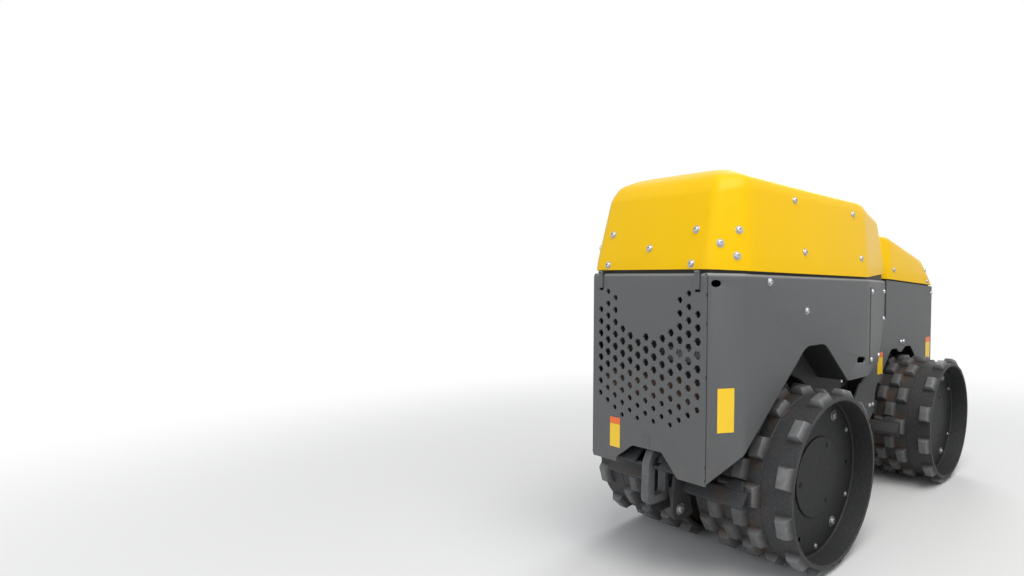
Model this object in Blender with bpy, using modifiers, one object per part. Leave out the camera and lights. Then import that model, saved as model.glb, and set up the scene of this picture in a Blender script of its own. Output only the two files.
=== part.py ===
"""Trench roller: an articulated walk-behind roller with four studded drums.

Frame: metres, origin on the floor below the middle of the machine, +X toward the engine
end, +Y toward the machine's left side and +Z up. The engine half carries the pivot pin, the
yoke swings on that pin, and the tank half rocks on the yoke's trunnion.
"""
import bpy
import bmesh
from math import cos, sin, pi, radians, sqrt
from mathutils import Vector

# Drums
SHELL_R = 0.2612        # radius of the rolled shell
LUG_H = 0.0222          # height of a lug above the shell
TIP_R = SHELL_R + LUG_H
LUG_TOP_DEG = 11.0      # angle that a lug's flat top covers
LUG_COUNT = 12          # lugs in one row
CELLS = 48              # flats round a drum
LUG_BEVEL = 0.0125      # how far a lug's end slopes in along the axle
DRUM_IN_Y = 0.045       # inner face of a base drum
BASE_ROWS = 3
BASE_W = 0.2555         # width of a base drum
RING_GAP = 0.0003       # joint between base drum and extension ring
RING_BAND = 0.0512      # bare band beside the joint
RING_EDGE = 0.002       # bare edge at the outer rim
RING_W = 0.1092         # width of an extension ring
RING_WALL = 0.012
DISC_DEPTH = 0.067      # how far the wheel disc sits inside the rim
COVER_R = 0.122         # round cover on the wheel disc
COVER_T = 0.006
AXLE_R = 0.060
BEARING_GAP = 0.0005
AXLE_Z = TIP_R * cos(radians(LUG_TOP_DEG / 2))
ENGINE_AXLE_X = 0.5227
TANK_AXLE_X = -0.5413

# Body sheets
SHEET_T = 0.006
SEAM = 0.0003           # gap left between sheets that meet
RIM_Z = 0.918           # top edge of the engine body
SKIRT_Z = 0.342         # lowest edge of both bodies
BODY_W = 0.302          # half width of the engine body
NOSE_W = BODY_W - 0.099  # half width at the end facing the tank
NOSE_X = -0.254
TAPER_X = 0.105         # fold where the taper starts
CORNER_X = 0.861        # fold where the corner facet starts
GRILLE_X = 0.9485       # outer face of the grille
GRILLE_W = BODY_W - 0.061
GRILLE_T = 0.006
NOSE_LOW_Z = 0.749
BELLY_X = -0.124
BELLY_Z = 0.576
BELLY_END_X = 0.072
BELLY_END_Z = 0.554
FENDER_Z = 0.552
FENDER_X = 0.261
ARCH_X0 = 0.427
ARCH_X1 = 0.547
ARCH_Z = 0.697
CORNER_LOW_Z = 0.420

# Grille
HOLE_R = 0.0105
HOLE_PITCH_Y = 0.0341
HOLE_PITCH_Z = 0.0373
HOLE_COLUMNS = 13
HOLE_LOW_Z = 0.490
BLANK_TOP_Z = 0.904
BLANK_LOW_Z = 0.748
BLANK_TOP_W = 0.154
BLANK_LOW_W = 0.076
BLANK_EDGE = 0.009
NOTCH = ((-0.126, 0.0), (-0.070, 0.055), (0.083, 0.055), (0.128, 0.0))

# Hoods
HOOD_T = 0.004
HOOD_LOW_Z = 0.926
HOOD_RISE = 0.002       # the hood's edge climbs toward its ends
HINGE_R = 0.003         # knuckle of both hoods' hinges
HINGE_Z = 0.921
HINGE_Y = GRILLE_W - 0.038
HINGE_HALF_W = 0.009
HINGE_DROP = 0.048
TANK_HINGE_Z = 0.903
TANK_HINGE_Y = 0.104
LEAF_W = 0.012          # width of the hood's own hinge leaf
CAP_X = 0.274
CAP_Y = -0.080
CAP_R = 0.046
HOOD_TOP = ((0.120, 1.233), (0.775, 1.232))  # flat top of the engine hood, (x, z)
CAP_TOP_Z = 1.286
LOOP_BAR_R = 0.012
LOOP_X0 = -0.037
LOOP_X1 = 0.048
LOOP_TOP_Z = 1.285
SLOT_BACK = 0.030
SLOT_ROOM = 0.006

# Pivot between the halves
PIVOT_X = -0.009
PIN_R = 0.022
PIN_LOW_Z = 0.218
PIN_TOP_Z = 0.505
PIN_HEAD_R = 0.036
LUG_LOW_Z0 = 0.262
LUG_LOW_Z1 = 0.283
LUG_UP_Z0 = 0.447
LUG_UP_Z1 = 0.470
LUG_TIP_R = 0.040
EAR_LOW_Z0 = 0.297
EAR_LOW_Z1 = 0.315
EAR_UP_Z0 = 0.417
EAR_UP_Z1 = 0.438
EAR_R = 0.063
EAR_BOSS_R = 0.036
POST_X0 = -0.107
POST_X1 = -0.084
POST_W = 0.110
POST_TOP_Z = 0.540
TRUNNION_R = 0.040
TRUNNION_Z = 0.370
TRUNNION_L = 0.060
FRONT_X = 0.082         # front face of the engine frame
FRONT_T = 0.012
FRAME_W = 0.176
FRAME_T = 0.008
ARCH_R = TIP_R + 0.0266  # wheel arch of the engine frame
KEEL_W = 0.036
KEEL_R = TIP_R - 0.0084
HUB_R = 0.098

# Steering cylinder
LEVER = 0.110
EYE_Z = 0.505
EYE_T = 0.022
EYE_R = 0.024
EYE_HOLE_R = 0.0135
EYE_PIN_R = 0.008
BARREL_R = 0.024
BARREL_X0 = 0.090
BARREL_X1 = 0.262
ROD_R = 0.010
ROD_REACH = 0.100       # rod inside the barrel at rest
ARM_Z0 = 0.474
ARM_Z1 = 0.486

# Tank half
TANK_W = 0.178
TANK_T = 0.008
TANK_OUT_X = -0.924
TANK_FOLD_X = -0.904
TANK_OUT_Z = 0.900
TANK_IN_X = -0.328
TANK_IN_Z = 0.922
BLOCK_LOW_Z = 0.640
NECK_X0 = -0.140
NECK_X1 = -0.116

# Scrapers and tow loops
SCRAPER_R = TIP_R + 0.0066  # nearest point to the drum's axis
APEX_R = TIP_R + 0.0456          # outer edge of the scraper bar
SCRAPER_SPREAD = 0.042  # how far the bar's upper edge stands above its middle
SCRAPER_LOW = 0.036     # and its lower edge below
APEX_DROP = 0.012       # how far the bar's nose hangs below its middle
SCRAPER_T = 0.008
SCRAPER_IN_Y = 0.020
SCRAPER_OUT_Y = 0.288
TAB_IN_Y = 0.196
TAB_OUT_Y = 0.242
TAB_UP = 0.048
CHEEK_Y = 0.042
CHEEK_T = 0.012
TOW_W = 0.015
TOW_IN_X = 0.864        # inner edge of the engine end's tow loop
TOW_TOP_Z = 0.396
PAN_NOTCH = 0.035       # room beside the loop in the floor pan
TANK_TOW_IN_X = -0.8745
TANK_TOW_TOP_Z = 0.376
BEAM_T = 0.010
HANG_Z = 0.344          # underside of the beams that carry scrapers and loops

# Colours, linear values
YELLOW = (0.93, 0.60, 0.012, 1.0)
GREY = (0.105, 0.110, 0.113, 1.0)
DARK = (0.035, 0.037, 0.040, 1.0)
IRON = (0.075, 0.077, 0.080, 1.0)
ZINC = (0.55, 0.56, 0.57, 1.0)


def fresh_scene():
    for obj in list(bpy.data.objects):
        bpy.data.objects.remove(obj, do_unlink=True)
    shown = bpy.data.collections.new("trench_roller")
    hidden = bpy.data.collections.new("cutters")
    bpy.context.scene.collection.children.link(shown)
    bpy.context.scene.collection.children.link(hidden)
    return shown, hidden


SHOWN, HIDDEN = fresh_scene()


def material(name, colour, metallic, roughness):
    mat = bpy.data.materials.new(name)
    mat.use_nodes = True
    shader = mat.node_tree.nodes["Principled BSDF"]
    shader.inputs["Base Color"].default_value = colour
    shader.inputs["Metallic"].default_value = metallic
    shader.inputs["Roughness"].default_value = roughness
    mat.diffuse_color = colour
    return mat


PAINT_YELLOW = material("paint_yellow", YELLOW, 0.0, 0.35)
PAINT_GREY = material("paint_grey", GREY, 0.0, 0.5)
PAINT_DARK = material("paint_dark", DARK, 0.0, 0.55)
CAST_IRON = material("cast_iron", IRON, 0.6, 0.6)
STEEL = material("zinc_steel", ZINC, 1.0, 0.35)
PLASTIC = material("black_plastic", (0.02, 0.02, 0.02, 1.0), 0.0, 0.5)


def put(name, mesh, mat):
    obj = bpy.data.objects.new(name, mesh)
    obj.data.materials.clear()
    obj.data.materials.append(mat)
    SHOWN.objects.link(obj)
    return obj


def mesh_from(name, verts, faces, mat, smooth=False):
    mesh = bpy.data.meshes.new(name)
    mesh.from_pydata([tuple(v) for v in verts], [], faces)
    bm = bmesh.new()
    bm.from_mesh(mesh)
    bmesh.ops.remove_doubles(bm, verts=bm.verts, dist=1e-6)
    bmesh.ops.recalc_face_normals(bm, faces=bm.faces)
    for face in bm.faces:
        face.smooth = smooth
    bm.to_mesh(mesh)
    bm.free()
    return put(name, mesh, mat)


def flat_plate(name, loops, plane, middle, thick, mat):
    """A flat piece from closed outlines; the first is its edge and the others are holes."""
    curve = bpy.data.curves.new(name, "CURVE")
    curve.dimensions = "2D"
    curve.fill_mode = "BOTH"
    curve.extrude = thick / 2
    for loop in loops:
        spline = curve.splines.new("POLY")
        spline.points.add(len(loop) - 1)
        for point, (a, b) in zip(spline.points, loop):
            point.co = (a, b, 0.0, 1.0)
        spline.use_cyclic_u = True
    drawn = bpy.data.objects.new(name + "_outline", curve)
    bpy.context.scene.collection.objects.link(drawn)
    bpy.context.view_layer.update()
    view = bpy.context.evaluated_depsgraph_get()
    mesh = bpy.data.meshes.new_from_object(drawn.evaluated_get(view))
    bpy.data.objects.remove(drawn, do_unlink=True)
    mesh.name = name
    for v in mesh.vertices:
        a, b, c = v.co
        if plane == "XZ":
            v.co = (a, middle - c, b)
        elif plane == "YZ":
            v.co = (middle + c, a, b)
        else:
            v.co = (a, b, middle + c)
    bm = bmesh.new()
    bm.from_mesh(mesh)
    bmesh.ops.remove_doubles(bm, verts=bm.verts, dist=1e-5)
    bmesh.ops.recalc_face_normals(bm, faces=bm.faces)
    bm.to_mesh(mesh)
    bm.free()
    return put(name, mesh, mat)


def plate_between(name, loops, plane, low, high, mat):
    return flat_plate(name, loops, plane, (low + high) / 2, high - low, mat)


def box(name, x0, x1, y0, y1, z0, z1, mat):
    corners = [(x, y, z) for x in (x0, x1) for y in (y0, y1) for z in (z0, z1)]
    faces = [(0, 1, 3, 2), (4, 6, 7, 5), (0, 4, 5, 1), (2, 3, 7, 6), (0, 2, 6, 4), (1, 5, 7, 3)]
    return mesh_from(name, corners, faces, mat)


def turned(name, profile, axis, centre, mat, steps=24):
    """A round piece: (radius, height) points from top to bottom, screwed round the axis."""
    mesh = bpy.data.meshes.new(name)
    mesh.from_pydata([(r, 0.0, h) for r, h in profile], [(i, i + 1) for i in range(len(profile) - 1)], [])
    obj = put(name, mesh, mat)
    screw = obj.modifiers.new("turn", "SCREW")
    screw.steps = steps
    screw.render_steps = steps
    screw.use_merge_vertices = True
    screw.merge_threshold = 0.00005
    screw.use_smooth_shade = True
    obj.location = centre
    if axis == "X":
        obj.rotation_euler = (0.0, pi / 2, 0.0)
    elif axis == "Y":
        obj.rotation_euler = (-pi / 2, 0.0, 0.0)
    return obj


def rod_between(name, radius, axis, centre, low, high, mat, steps=24):
    return turned(name, [(0.0, high), (radius, high), (radius, low), (0.0, low)], axis, centre, mat, steps)


def join(obj, other):
    link = obj.modifiers.new("join_" + other.name, "BOOLEAN")
    link.operation = "UNION"
    link.solver = "EXACT"
    link.object = other
    hide(other)
    return obj


def cut(obj, other):
    link = obj.modifiers.new("cut_" + other.name, "BOOLEAN")
    link.operation = "DIFFERENCE"
    link.solver = "EXACT"
    link.object = other
    hide(other)
    return obj


def hide(obj):
    for home in list(obj.users_collection):
        home.objects.unlink(obj)
    HIDDEN.objects.link(obj)
    obj.hide_render = True
    obj.display_type = "WIRE"


def thicken(obj, thick, inward=True):
    shell = obj.modifiers.new("thickness", "SOLIDIFY")
    shell.thickness = thick
    shell.offset = -1.0 if inward else 1.0
    shell.use_even_offset = True
    return obj


def arc(centre, radius, start_deg, end_deg, steps):
    out = []
    for i in range(steps + 1):
        a = radians(start_deg + (end_deg - start_deg) * i / steps)
        out.append((centre[0] + radius * cos(a), centre[1] + radius * sin(a)))
    return out


def circle(centre, radius, steps, turn_deg=0.0):
    return arc(centre, radius, turn_deg, turn_deg + 360.0 * (steps - 1) / steps, steps - 1)


def line_z(points, x):
    """Height of a folded line at x."""
    for (xa, za), (xb, zb) in zip(points, points[1:]):
        if min(xa, xb) - 1e-9 <= x <= max(xa, xb) + 1e-9 and abs(xb - xa) > 1e-9:
            return za + (zb - za) * (x - xa) / (xb - xa)
    return points[-1][1]


def body_width(x):
    """Half width of the engine body at x."""
    if x < TAPER_X:
        return NOSE_W + (x - NOSE_X) * (BODY_W - NOSE_W) / (TAPER_X - NOSE_X)
    if x > CORNER_X:
        return BODY_W + (x - CORNER_X) * (GRILLE_W - BODY_W) / (GRILLE_X - CORNER_X)
    return BODY_W


BELLY = [(NOSE_X, NOSE_LOW_Z), (BELLY_X, BELLY_Z), (BELLY_END_X, BELLY_END_Z), (TAPER_X, FENDER_Z),
         (FENDER_X, FENDER_Z), (ARCH_X0, ARCH_Z), (ARCH_X1, ARCH_Z), (CORNER_X, CORNER_LOW_Z),
         (GRILLE_X, SKIRT_Z)]
BACK_X = GRILLE_X - GRILLE_T - SEAM
ENGINE_HINGE_X = GRILLE_X + HINGE_R + SEAM
TANK_HINGE_X = TANK_OUT_X - HINGE_R - SEAM


def floor_top(x):
    """Upper face of the engine floor, measured straight up."""
    for (xa, za), (xb, zb) in zip(BELLY, BELLY[1:]):
        if xa <= x <= xb:
            slope = (zb - za) / (xb - xa)
            return za + slope * (x - xa) + SHEET_T * sqrt(1 + slope * slope)
    return BELLY[-1][1]


def side_panel(name, side):
    """Folded side sheet: taper, flat side and corner facet."""
    verts, faces = [], []

    def face(points):
        start = len(verts)
        verts.extend((x, side * body_width(x), z) for x, z in points)
        order = list(range(start, len(verts)))
        faces.append(tuple(order))

    low_back = line_z(BELLY, BACK_X)
    face([(NOSE_X, RIM_Z), (NOSE_X, NOSE_LOW_Z), (BELLY_X, BELLY_Z), (BELLY_END_X, BELLY_END_Z),
          (TAPER_X, FENDER_Z), (TAPER_X, RIM_Z)])
    face([(TAPER_X, RIM_Z), (TAPER_X, FENDER_Z), (FENDER_X, FENDER_Z), (ARCH_X0, ARCH_Z), (ARCH_X1, ARCH_Z),
          (CORNER_X, CORNER_LOW_Z), (CORNER_X, RIM_Z)])
    face([(CORNER_X, RIM_Z), (CORNER_X, CORNER_LOW_Z), (BACK_X, low_back), (BACK_X, RIM_Z)])
    obj = mesh_from(name, verts, faces, PAINT_GREY)
    orient(obj, Vector((0.0, side, 0.0)))
    return thicken(obj, SHEET_T)


def orient(obj, outward):
    """Turn an open sheet so that its normals point outward."""
    bm = bmesh.new()
    bm.from_mesh(obj.data)
    total = Vector((0.0, 0.0, 0.0))
    for f in bm.faces:
        total += f.normal * f.calc_area()
    if total.dot(outward) < 0:
        bmesh.ops.reverse_faces(bm, faces=bm.faces)
    bm.to_mesh(obj.data)
    bm.free()


def floor_pan():
    """One folded sheet: the nose, the belly and the fender over the drums."""
    (xa, za), (xb, zb) = BELLY[-2:]
    end_x = BACK_X - SHEET_T * (za - zb) / sqrt((xb - xa) ** 2 + (zb - za) ** 2)
    line = [(NOSE_X, RIM_Z)] + BELLY[:-1] + [(end_x, line_z(BELLY, end_x))]
    inset = SHEET_T * 1.04 + SEAM
    corner_inset = SHEET_T * 1.70 + SEAM
    verts, faces = [], []
    for x, z in line:
        w = body_width(x) - (corner_inset if x >= CORNER_X else inset)
        verts += [(x, -w, z), (x, w, z)]
    for i in range(len(line) - 1):
        a = 2 * i
        faces.append((a, a + 1, a + 3, a + 2))
    obj = mesh_from("engine_floor_pan", verts, faces, PAINT_DARK)
    orient(obj, Vector((0.0, 0.0, -1.0)))
    thicken(obj, SHEET_T)
    room = box("pan_notch", TOW_IN_X - 0.006, GRILLE_X + 0.01, -TOW_W - PAN_NOTCH, TOW_W + PAN_NOTCH, SKIRT_Z - 0.01,
               TOW_TOP_Z + 0.05, PAINT_DARK)
    return cut(obj, room)


def in_blank(y, z):
    """True where the grille stays solid, in the four-sided field left bare."""
    if not BLANK_LOW_Z - BLANK_EDGE < z < BLANK_TOP_Z + BLANK_EDGE:
        return False
    share = (z - BLANK_LOW_Z) / (BLANK_TOP_Z - BLANK_LOW_Z)
    half = BLANK_LOW_W + (BLANK_TOP_W - BLANK_LOW_W) * share
    slope = (BLANK_TOP_W - BLANK_LOW_W) / (BLANK_TOP_Z - BLANK_LOW_Z)
    return abs(y) < half + BLANK_EDGE * sqrt(1 + slope * slope)


def grille_holes():
    middle = (HOLE_COLUMNS - 1) // 2
    found = []
    for k in range(HOLE_COLUMNS):
        y = (k - middle) * HOLE_PITCH_Y
        from_edge = min(k, HOLE_COLUMNS - 1 - k)
        offset = 0.0 if k % 2 else HOLE_PITCH_Z / 2
        low = HOLE_LOW_Z + offset + (HOLE_PITCH_Z if from_edge < 2 else 0.0)
        top = {0: 0.815, 1: 0.870}.get(from_edge, 0.850)
        z = low
        while z < top:
            if not in_blank(y, z):
                found.append((y, z))
            z += HOLE_PITCH_Z
    return found


def grille():
    edge = [(-GRILLE_W, RIM_Z), (-GRILLE_W, SKIRT_Z)]
    edge += [(y, SKIRT_Z + z) for y, z in NOTCH]
    edge += [(GRILLE_W, SKIRT_Z), (GRILLE_W, RIM_Z)]
    loops = [edge] + [circle(c, HOLE_R, 6) for c in grille_holes()]
    return plate_between("engine_grille", loops, "YZ", GRILLE_X - GRILLE_T, GRILLE_X, PAINT_GREY)


def ring_rows(columns):
    """Mirror the columns of one side and close them into a ring."""
    full = list(columns)
    for col in reversed(columns):
        full.append([(x, -y, z) for x, y, z in col])
    return full


def hood_shell(name, columns):
    full = ring_rows(columns)
    rows = len(full[0])
    verts = [p for col in full for p in col]
    count = len(full)
    faces = []
    for i in range(count):
        j = (i + 1) % count
        for k in range(rows - 1):
            faces.append((i * rows + k, j * rows + k, j * rows + k + 1, i * rows + k + 1))
    half = count // 2
    top = rows - 1
    for i in range(half - 1):
        a, b = i, i + 1
        c, d = count - 1 - b, count - 1 - a
        faces.append((a * rows + top, b * rows + top, c * rows + top, d * rows + top))
    obj = mesh_from(name, verts, faces, PAINT_YELLOW)
    orient_shell(obj)
    return thicken(obj, HOOD_T)


def orient_shell(obj):
    bm = bmesh.new()
    bm.from_mesh(obj.data)
    best = max(bm.faces, key=lambda f: f.calc_center_median().z)
    if best.normal.z < 0:
        bmesh.ops.reverse_faces(bm, faces=bm.faces)
    bm.to_mesh(obj.data)
    bm.free()


def engine_hood():
    z0 = HOOD_LOW_Z
    side = BODY_W - 0.002
    columns = [
        [(-0.249, 0.178, z0 + 0.022), (-0.249, 0.176, 0.997), (-0.223, 0.152, 1.155), (-0.215, 0.146, 1.166),
         (-0.208, 0.132, 1.173), (-0.203, 0.100, 1.177)],
        [(-0.229, 0.208, z0 + 0.022), (-0.229, 0.204, 0.989), (-0.207, 0.176, 1.158), (-0.205, 0.168, 1.167),
         (-0.203, 0.150, 1.174), (-0.201, 0.106, 1.178)],
        [(0.081, side - 0.009, z0 + HOOD_RISE), (0.074, side - 0.014, 0.960), (0.008, 0.243, 1.168),
         (0.016, 0.226, 1.186), (0.030, 0.182, 1.204), (0.060, 0.128, 1.226)],
        [(0.105, side, z0), (0.104, side - 0.004, 0.960), (0.087, 0.263, 1.171), (0.090, 0.245, 1.193),
         (0.098, 0.190, 1.217), (HOOD_TOP[0][0], 0.130, HOOD_TOP[0][1])],
        [(0.848, side, z0), (0.845, side - 0.004, 0.960), (0.814, 0.264, 1.168), (0.806, 0.246, 1.190),
         (0.795, 0.190, 1.214), (HOOD_TOP[1][0], 0.125, HOOD_TOP[1][1])],
        [(0.947, GRILLE_W - 0.002, z0 + HOOD_RISE), (0.943, 0.238, 0.955), (0.897, 0.221, 1.142),
         (0.872, 0.203, 1.190), (0.838, 0.160, 1.216), (0.800, 0.112, 1.230)],
    ]
    hood = hood_shell("engine_hood", columns)
    leaf = [(-0.0020, 0.0), (0.0030, 0.0), (0.0010, 0.0180), (-0.0090, 0.0180), (-0.0070, 0.0085)]
    hinge_leaves(hood, leaf, ENGINE_HINGE_X, HINGE_Z, HINGE_Y - HINGE_HALF_W - SEAM)
    slot = box("hood_slot", LOOP_X0 - LOOP_BAR_R - SLOT_BACK, LOOP_X1 + LOOP_BAR_R + SLOT_ROOM,
               -LOOP_BAR_R - SLOT_ROOM, LOOP_BAR_R + SLOT_ROOM, 1.12, 1.30, PAINT_DARK)
    return cut(hood, slot)


def tank_hood():
    z0 = HOOD_LOW_Z
    side = TANK_W - 0.001
    columns = [
        [(-0.921, 0.156, 0.907), (-0.912, 0.151, 0.936), (-0.890, 0.134, 1.000), (-0.871, 0.118, 1.033),
         (-0.842, 0.090, 1.051)],
        [(-0.902, side, 0.908), (-0.882, side - 0.006, 0.940), (-0.840, 0.154, 1.000), (-0.834, 0.138, 1.037),
         (-0.830, 0.096, 1.053)],
        [(-0.369, side, z0 + 0.002), (-0.377, side - 0.006, 0.986), (-0.432, 0.150, 1.095),
         (-0.436, 0.136, 1.119), (-0.430, 0.096, 1.143)],
        [(-0.339, 0.150, z0 + 0.003), (-0.339, 0.148, 0.991), (-0.363, 0.128, 1.108), (-0.372, 0.116, 1.124),
         (-0.390, 0.088, 1.134)],
    ]
    hood = hood_shell("tank_hood", columns)
    leaf = [(0.0025, 0.0), (-0.0030, 0.0), (0.0040, 0.0240), (0.0130, 0.0240), (0.0090, 0.0070)]
    return hinge_leaves(hood, leaf, TANK_HINGE_X, TANK_HINGE_Z, TANK_HINGE_Y - HINGE_HALF_W - SEAM)


def hinge_leaves(hood, leaf, x, z, y_end):
    """Give the hood its knuckles beside the fixed ones, each on a leaf."""
    outline = [(x + dx, z + dz) for dx, dz in leaf]
    for side in (1, -1):
        y0, y1 = sorted((side * y_end, side * (y_end - LEAF_W)))
        join(hood, plate_between("%s_leaf%d" % (hood.name, side), [outline], "XZ", y0, y1, PAINT_YELLOW))
        join(hood, rod_between("%s_knuckle%d" % (hood.name, side), HINGE_R, "Y", (x, 0.0, z), y0, y1,
                               PAINT_YELLOW, 12))
    return hood


def cover_on_taper(name, side):
    """Flat cover screwed on the tapered panel."""
    outline = [(-0.2207, 0.8878), (-0.2207, 0.7443), (-0.109, 0.5948), (0.0776, 0.5948), (0.0776, 0.8878)]
    off = SEAM * 1.05
    verts = [(x, side * (body_width(x) + off), z) for x, z in outline]
    obj = mesh_from(name, verts, [tuple(range(len(verts)))], PAINT_GREY)
    orient(obj, Vector((0.0, side, 0.0)))
    return thicken(obj, 0.003, inward=False)


def lug_cell(verts, faces, ring_a, ring_b, cell, ya, yb, side):
    """One lug over two flats, with a smaller flat top."""
    n = CELLS
    a0, a1, a2 = (ring_a + (cell + i) % n for i in range(3))
    b0, b1, b2 = (ring_b + (cell + i) % n for i in range(3))
    mid = (cell + 1) * 2 * pi / n
    half = radians(LUG_TOP_DEG / 2)
    tip = TIP_R
    start = len(verts)
    step = LUG_BEVEL if yb > ya else -LUG_BEVEL
    for y in (ya + step, yb - step):
        for t in (mid - half, mid + half):
            verts.append((tip * sin(t), side * y, -tip * cos(t)))
    ta0, ta2, tb0, tb2 = range(start, start + 4)
    faces += [(a0, a1, a2, ta2, ta0), (b0, tb0, tb2, b2, b1), (a0, ta0, tb0, b0), (a2, b2, tb2, ta2),
              (ta0, ta2, tb2, tb0)]


def drum(name, axle_x, side, bands, y0, y1, hollow, mat):
    """A studded drum. Each band is (start, end, first lug's flat or None)."""
    verts, faces = [], []
    n = CELLS
    edges = [y0] + [b[1] for b in bands]
    rings = []
    for y in edges:
        rings.append(len(verts))
        for i in range(n):
            t = i * 2 * pi / n
            verts.append((SHELL_R * sin(t), side * y, -SHELL_R * cos(t)))
    pitch = n // LUG_COUNT
    for k, (ya, yb, phase) in enumerate(bands):
        covered = set()
        if phase is not None:
            for lug in range(LUG_COUNT):
                cell = (phase + lug * pitch) % n
                covered |= {cell, (cell + 1) % n}
                lug_cell(verts, faces, rings[k], rings[k + 1], cell, ya, yb, side)
        for i in range(n):
            if i not in covered:
                j = (i + 1) % n
                faces.append((rings[k] + i, rings[k] + j, rings[k + 1] + j, rings[k + 1] + i))
    faces.append(tuple(rings[0] + i for i in range(n)))
    if hollow:
        inner = []
        for y in (y1, y1 - DISC_DEPTH):
            inner.append(len(verts))
            for i in range(n):
                t = i * 2 * pi / n
                r = SHELL_R - RING_WALL
                verts.append((r * sin(t), side * y, -r * cos(t)))
        chain = [rings[-1]] + inner
        for a, b in zip(chain, chain[1:]):
            for i in range(n):
                j = (i + 1) % n
                faces.append((a + i, a + j, b + j, b + i))
        faces.append(tuple(inner[-1] + i for i in range(n)))
    else:
        faces.append(tuple(rings[-1] + i for i in range(n)))
    verts = [(x + axle_x, y, z + AXLE_Z) for x, y, z in verts]
    return mesh_from(name, verts, faces, mat, smooth=False)


def drum_set(prefix, axle_x):
    """Base drums, extension rings, covers and the axle of one half."""
    base_end = DRUM_IN_Y + BASE_W
    row_w = BASE_W / BASE_ROWS
    low_flat = CELLS - 1
    stagger = CELLS // LUG_COUNT // 2
    for word, side in (("left", 1), ("right", -1)):
        bands = []
        for k in range(BASE_ROWS):
            ya = DRUM_IN_Y + k * row_w
            bands.append((ya, ya + row_w, (low_flat + (stagger if k % 2 else 0)) % CELLS))
        drum(prefix + "_drum_" + word, axle_x, side, bands, DRUM_IN_Y, base_end, False, CAST_IRON)
        r0 = base_end + RING_GAP
        r1 = r0 + RING_W
        bands = [(r0, r0 + RING_BAND, None), (r0 + RING_BAND, r1 - RING_EDGE, (low_flat + stagger) % CELLS),
                 (r1 - RING_EDGE, r1, None)]
        ring = drum(prefix + "_ring_" + word, axle_x, side, bands, r0, r1, True, CAST_IRON)
        disc_y = r1 - DISC_DEPTH
        lift = turned(prefix + "_cover_" + word, [(0.0, COVER_T), (COVER_R, COVER_T), (COVER_R, -COVER_T),
                                                  (0.0, -COVER_T)], "Y", (axle_x, side * disc_y, AXLE_Z),
                      CAST_IRON, 20)
        join(ring, lift)
    rod_between(prefix + "_axle", AXLE_R, "Y", (axle_x, 0.0, AXLE_Z), -DRUM_IN_Y + SEAM, DRUM_IN_Y - SEAM,
                STEEL, 32)


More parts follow.
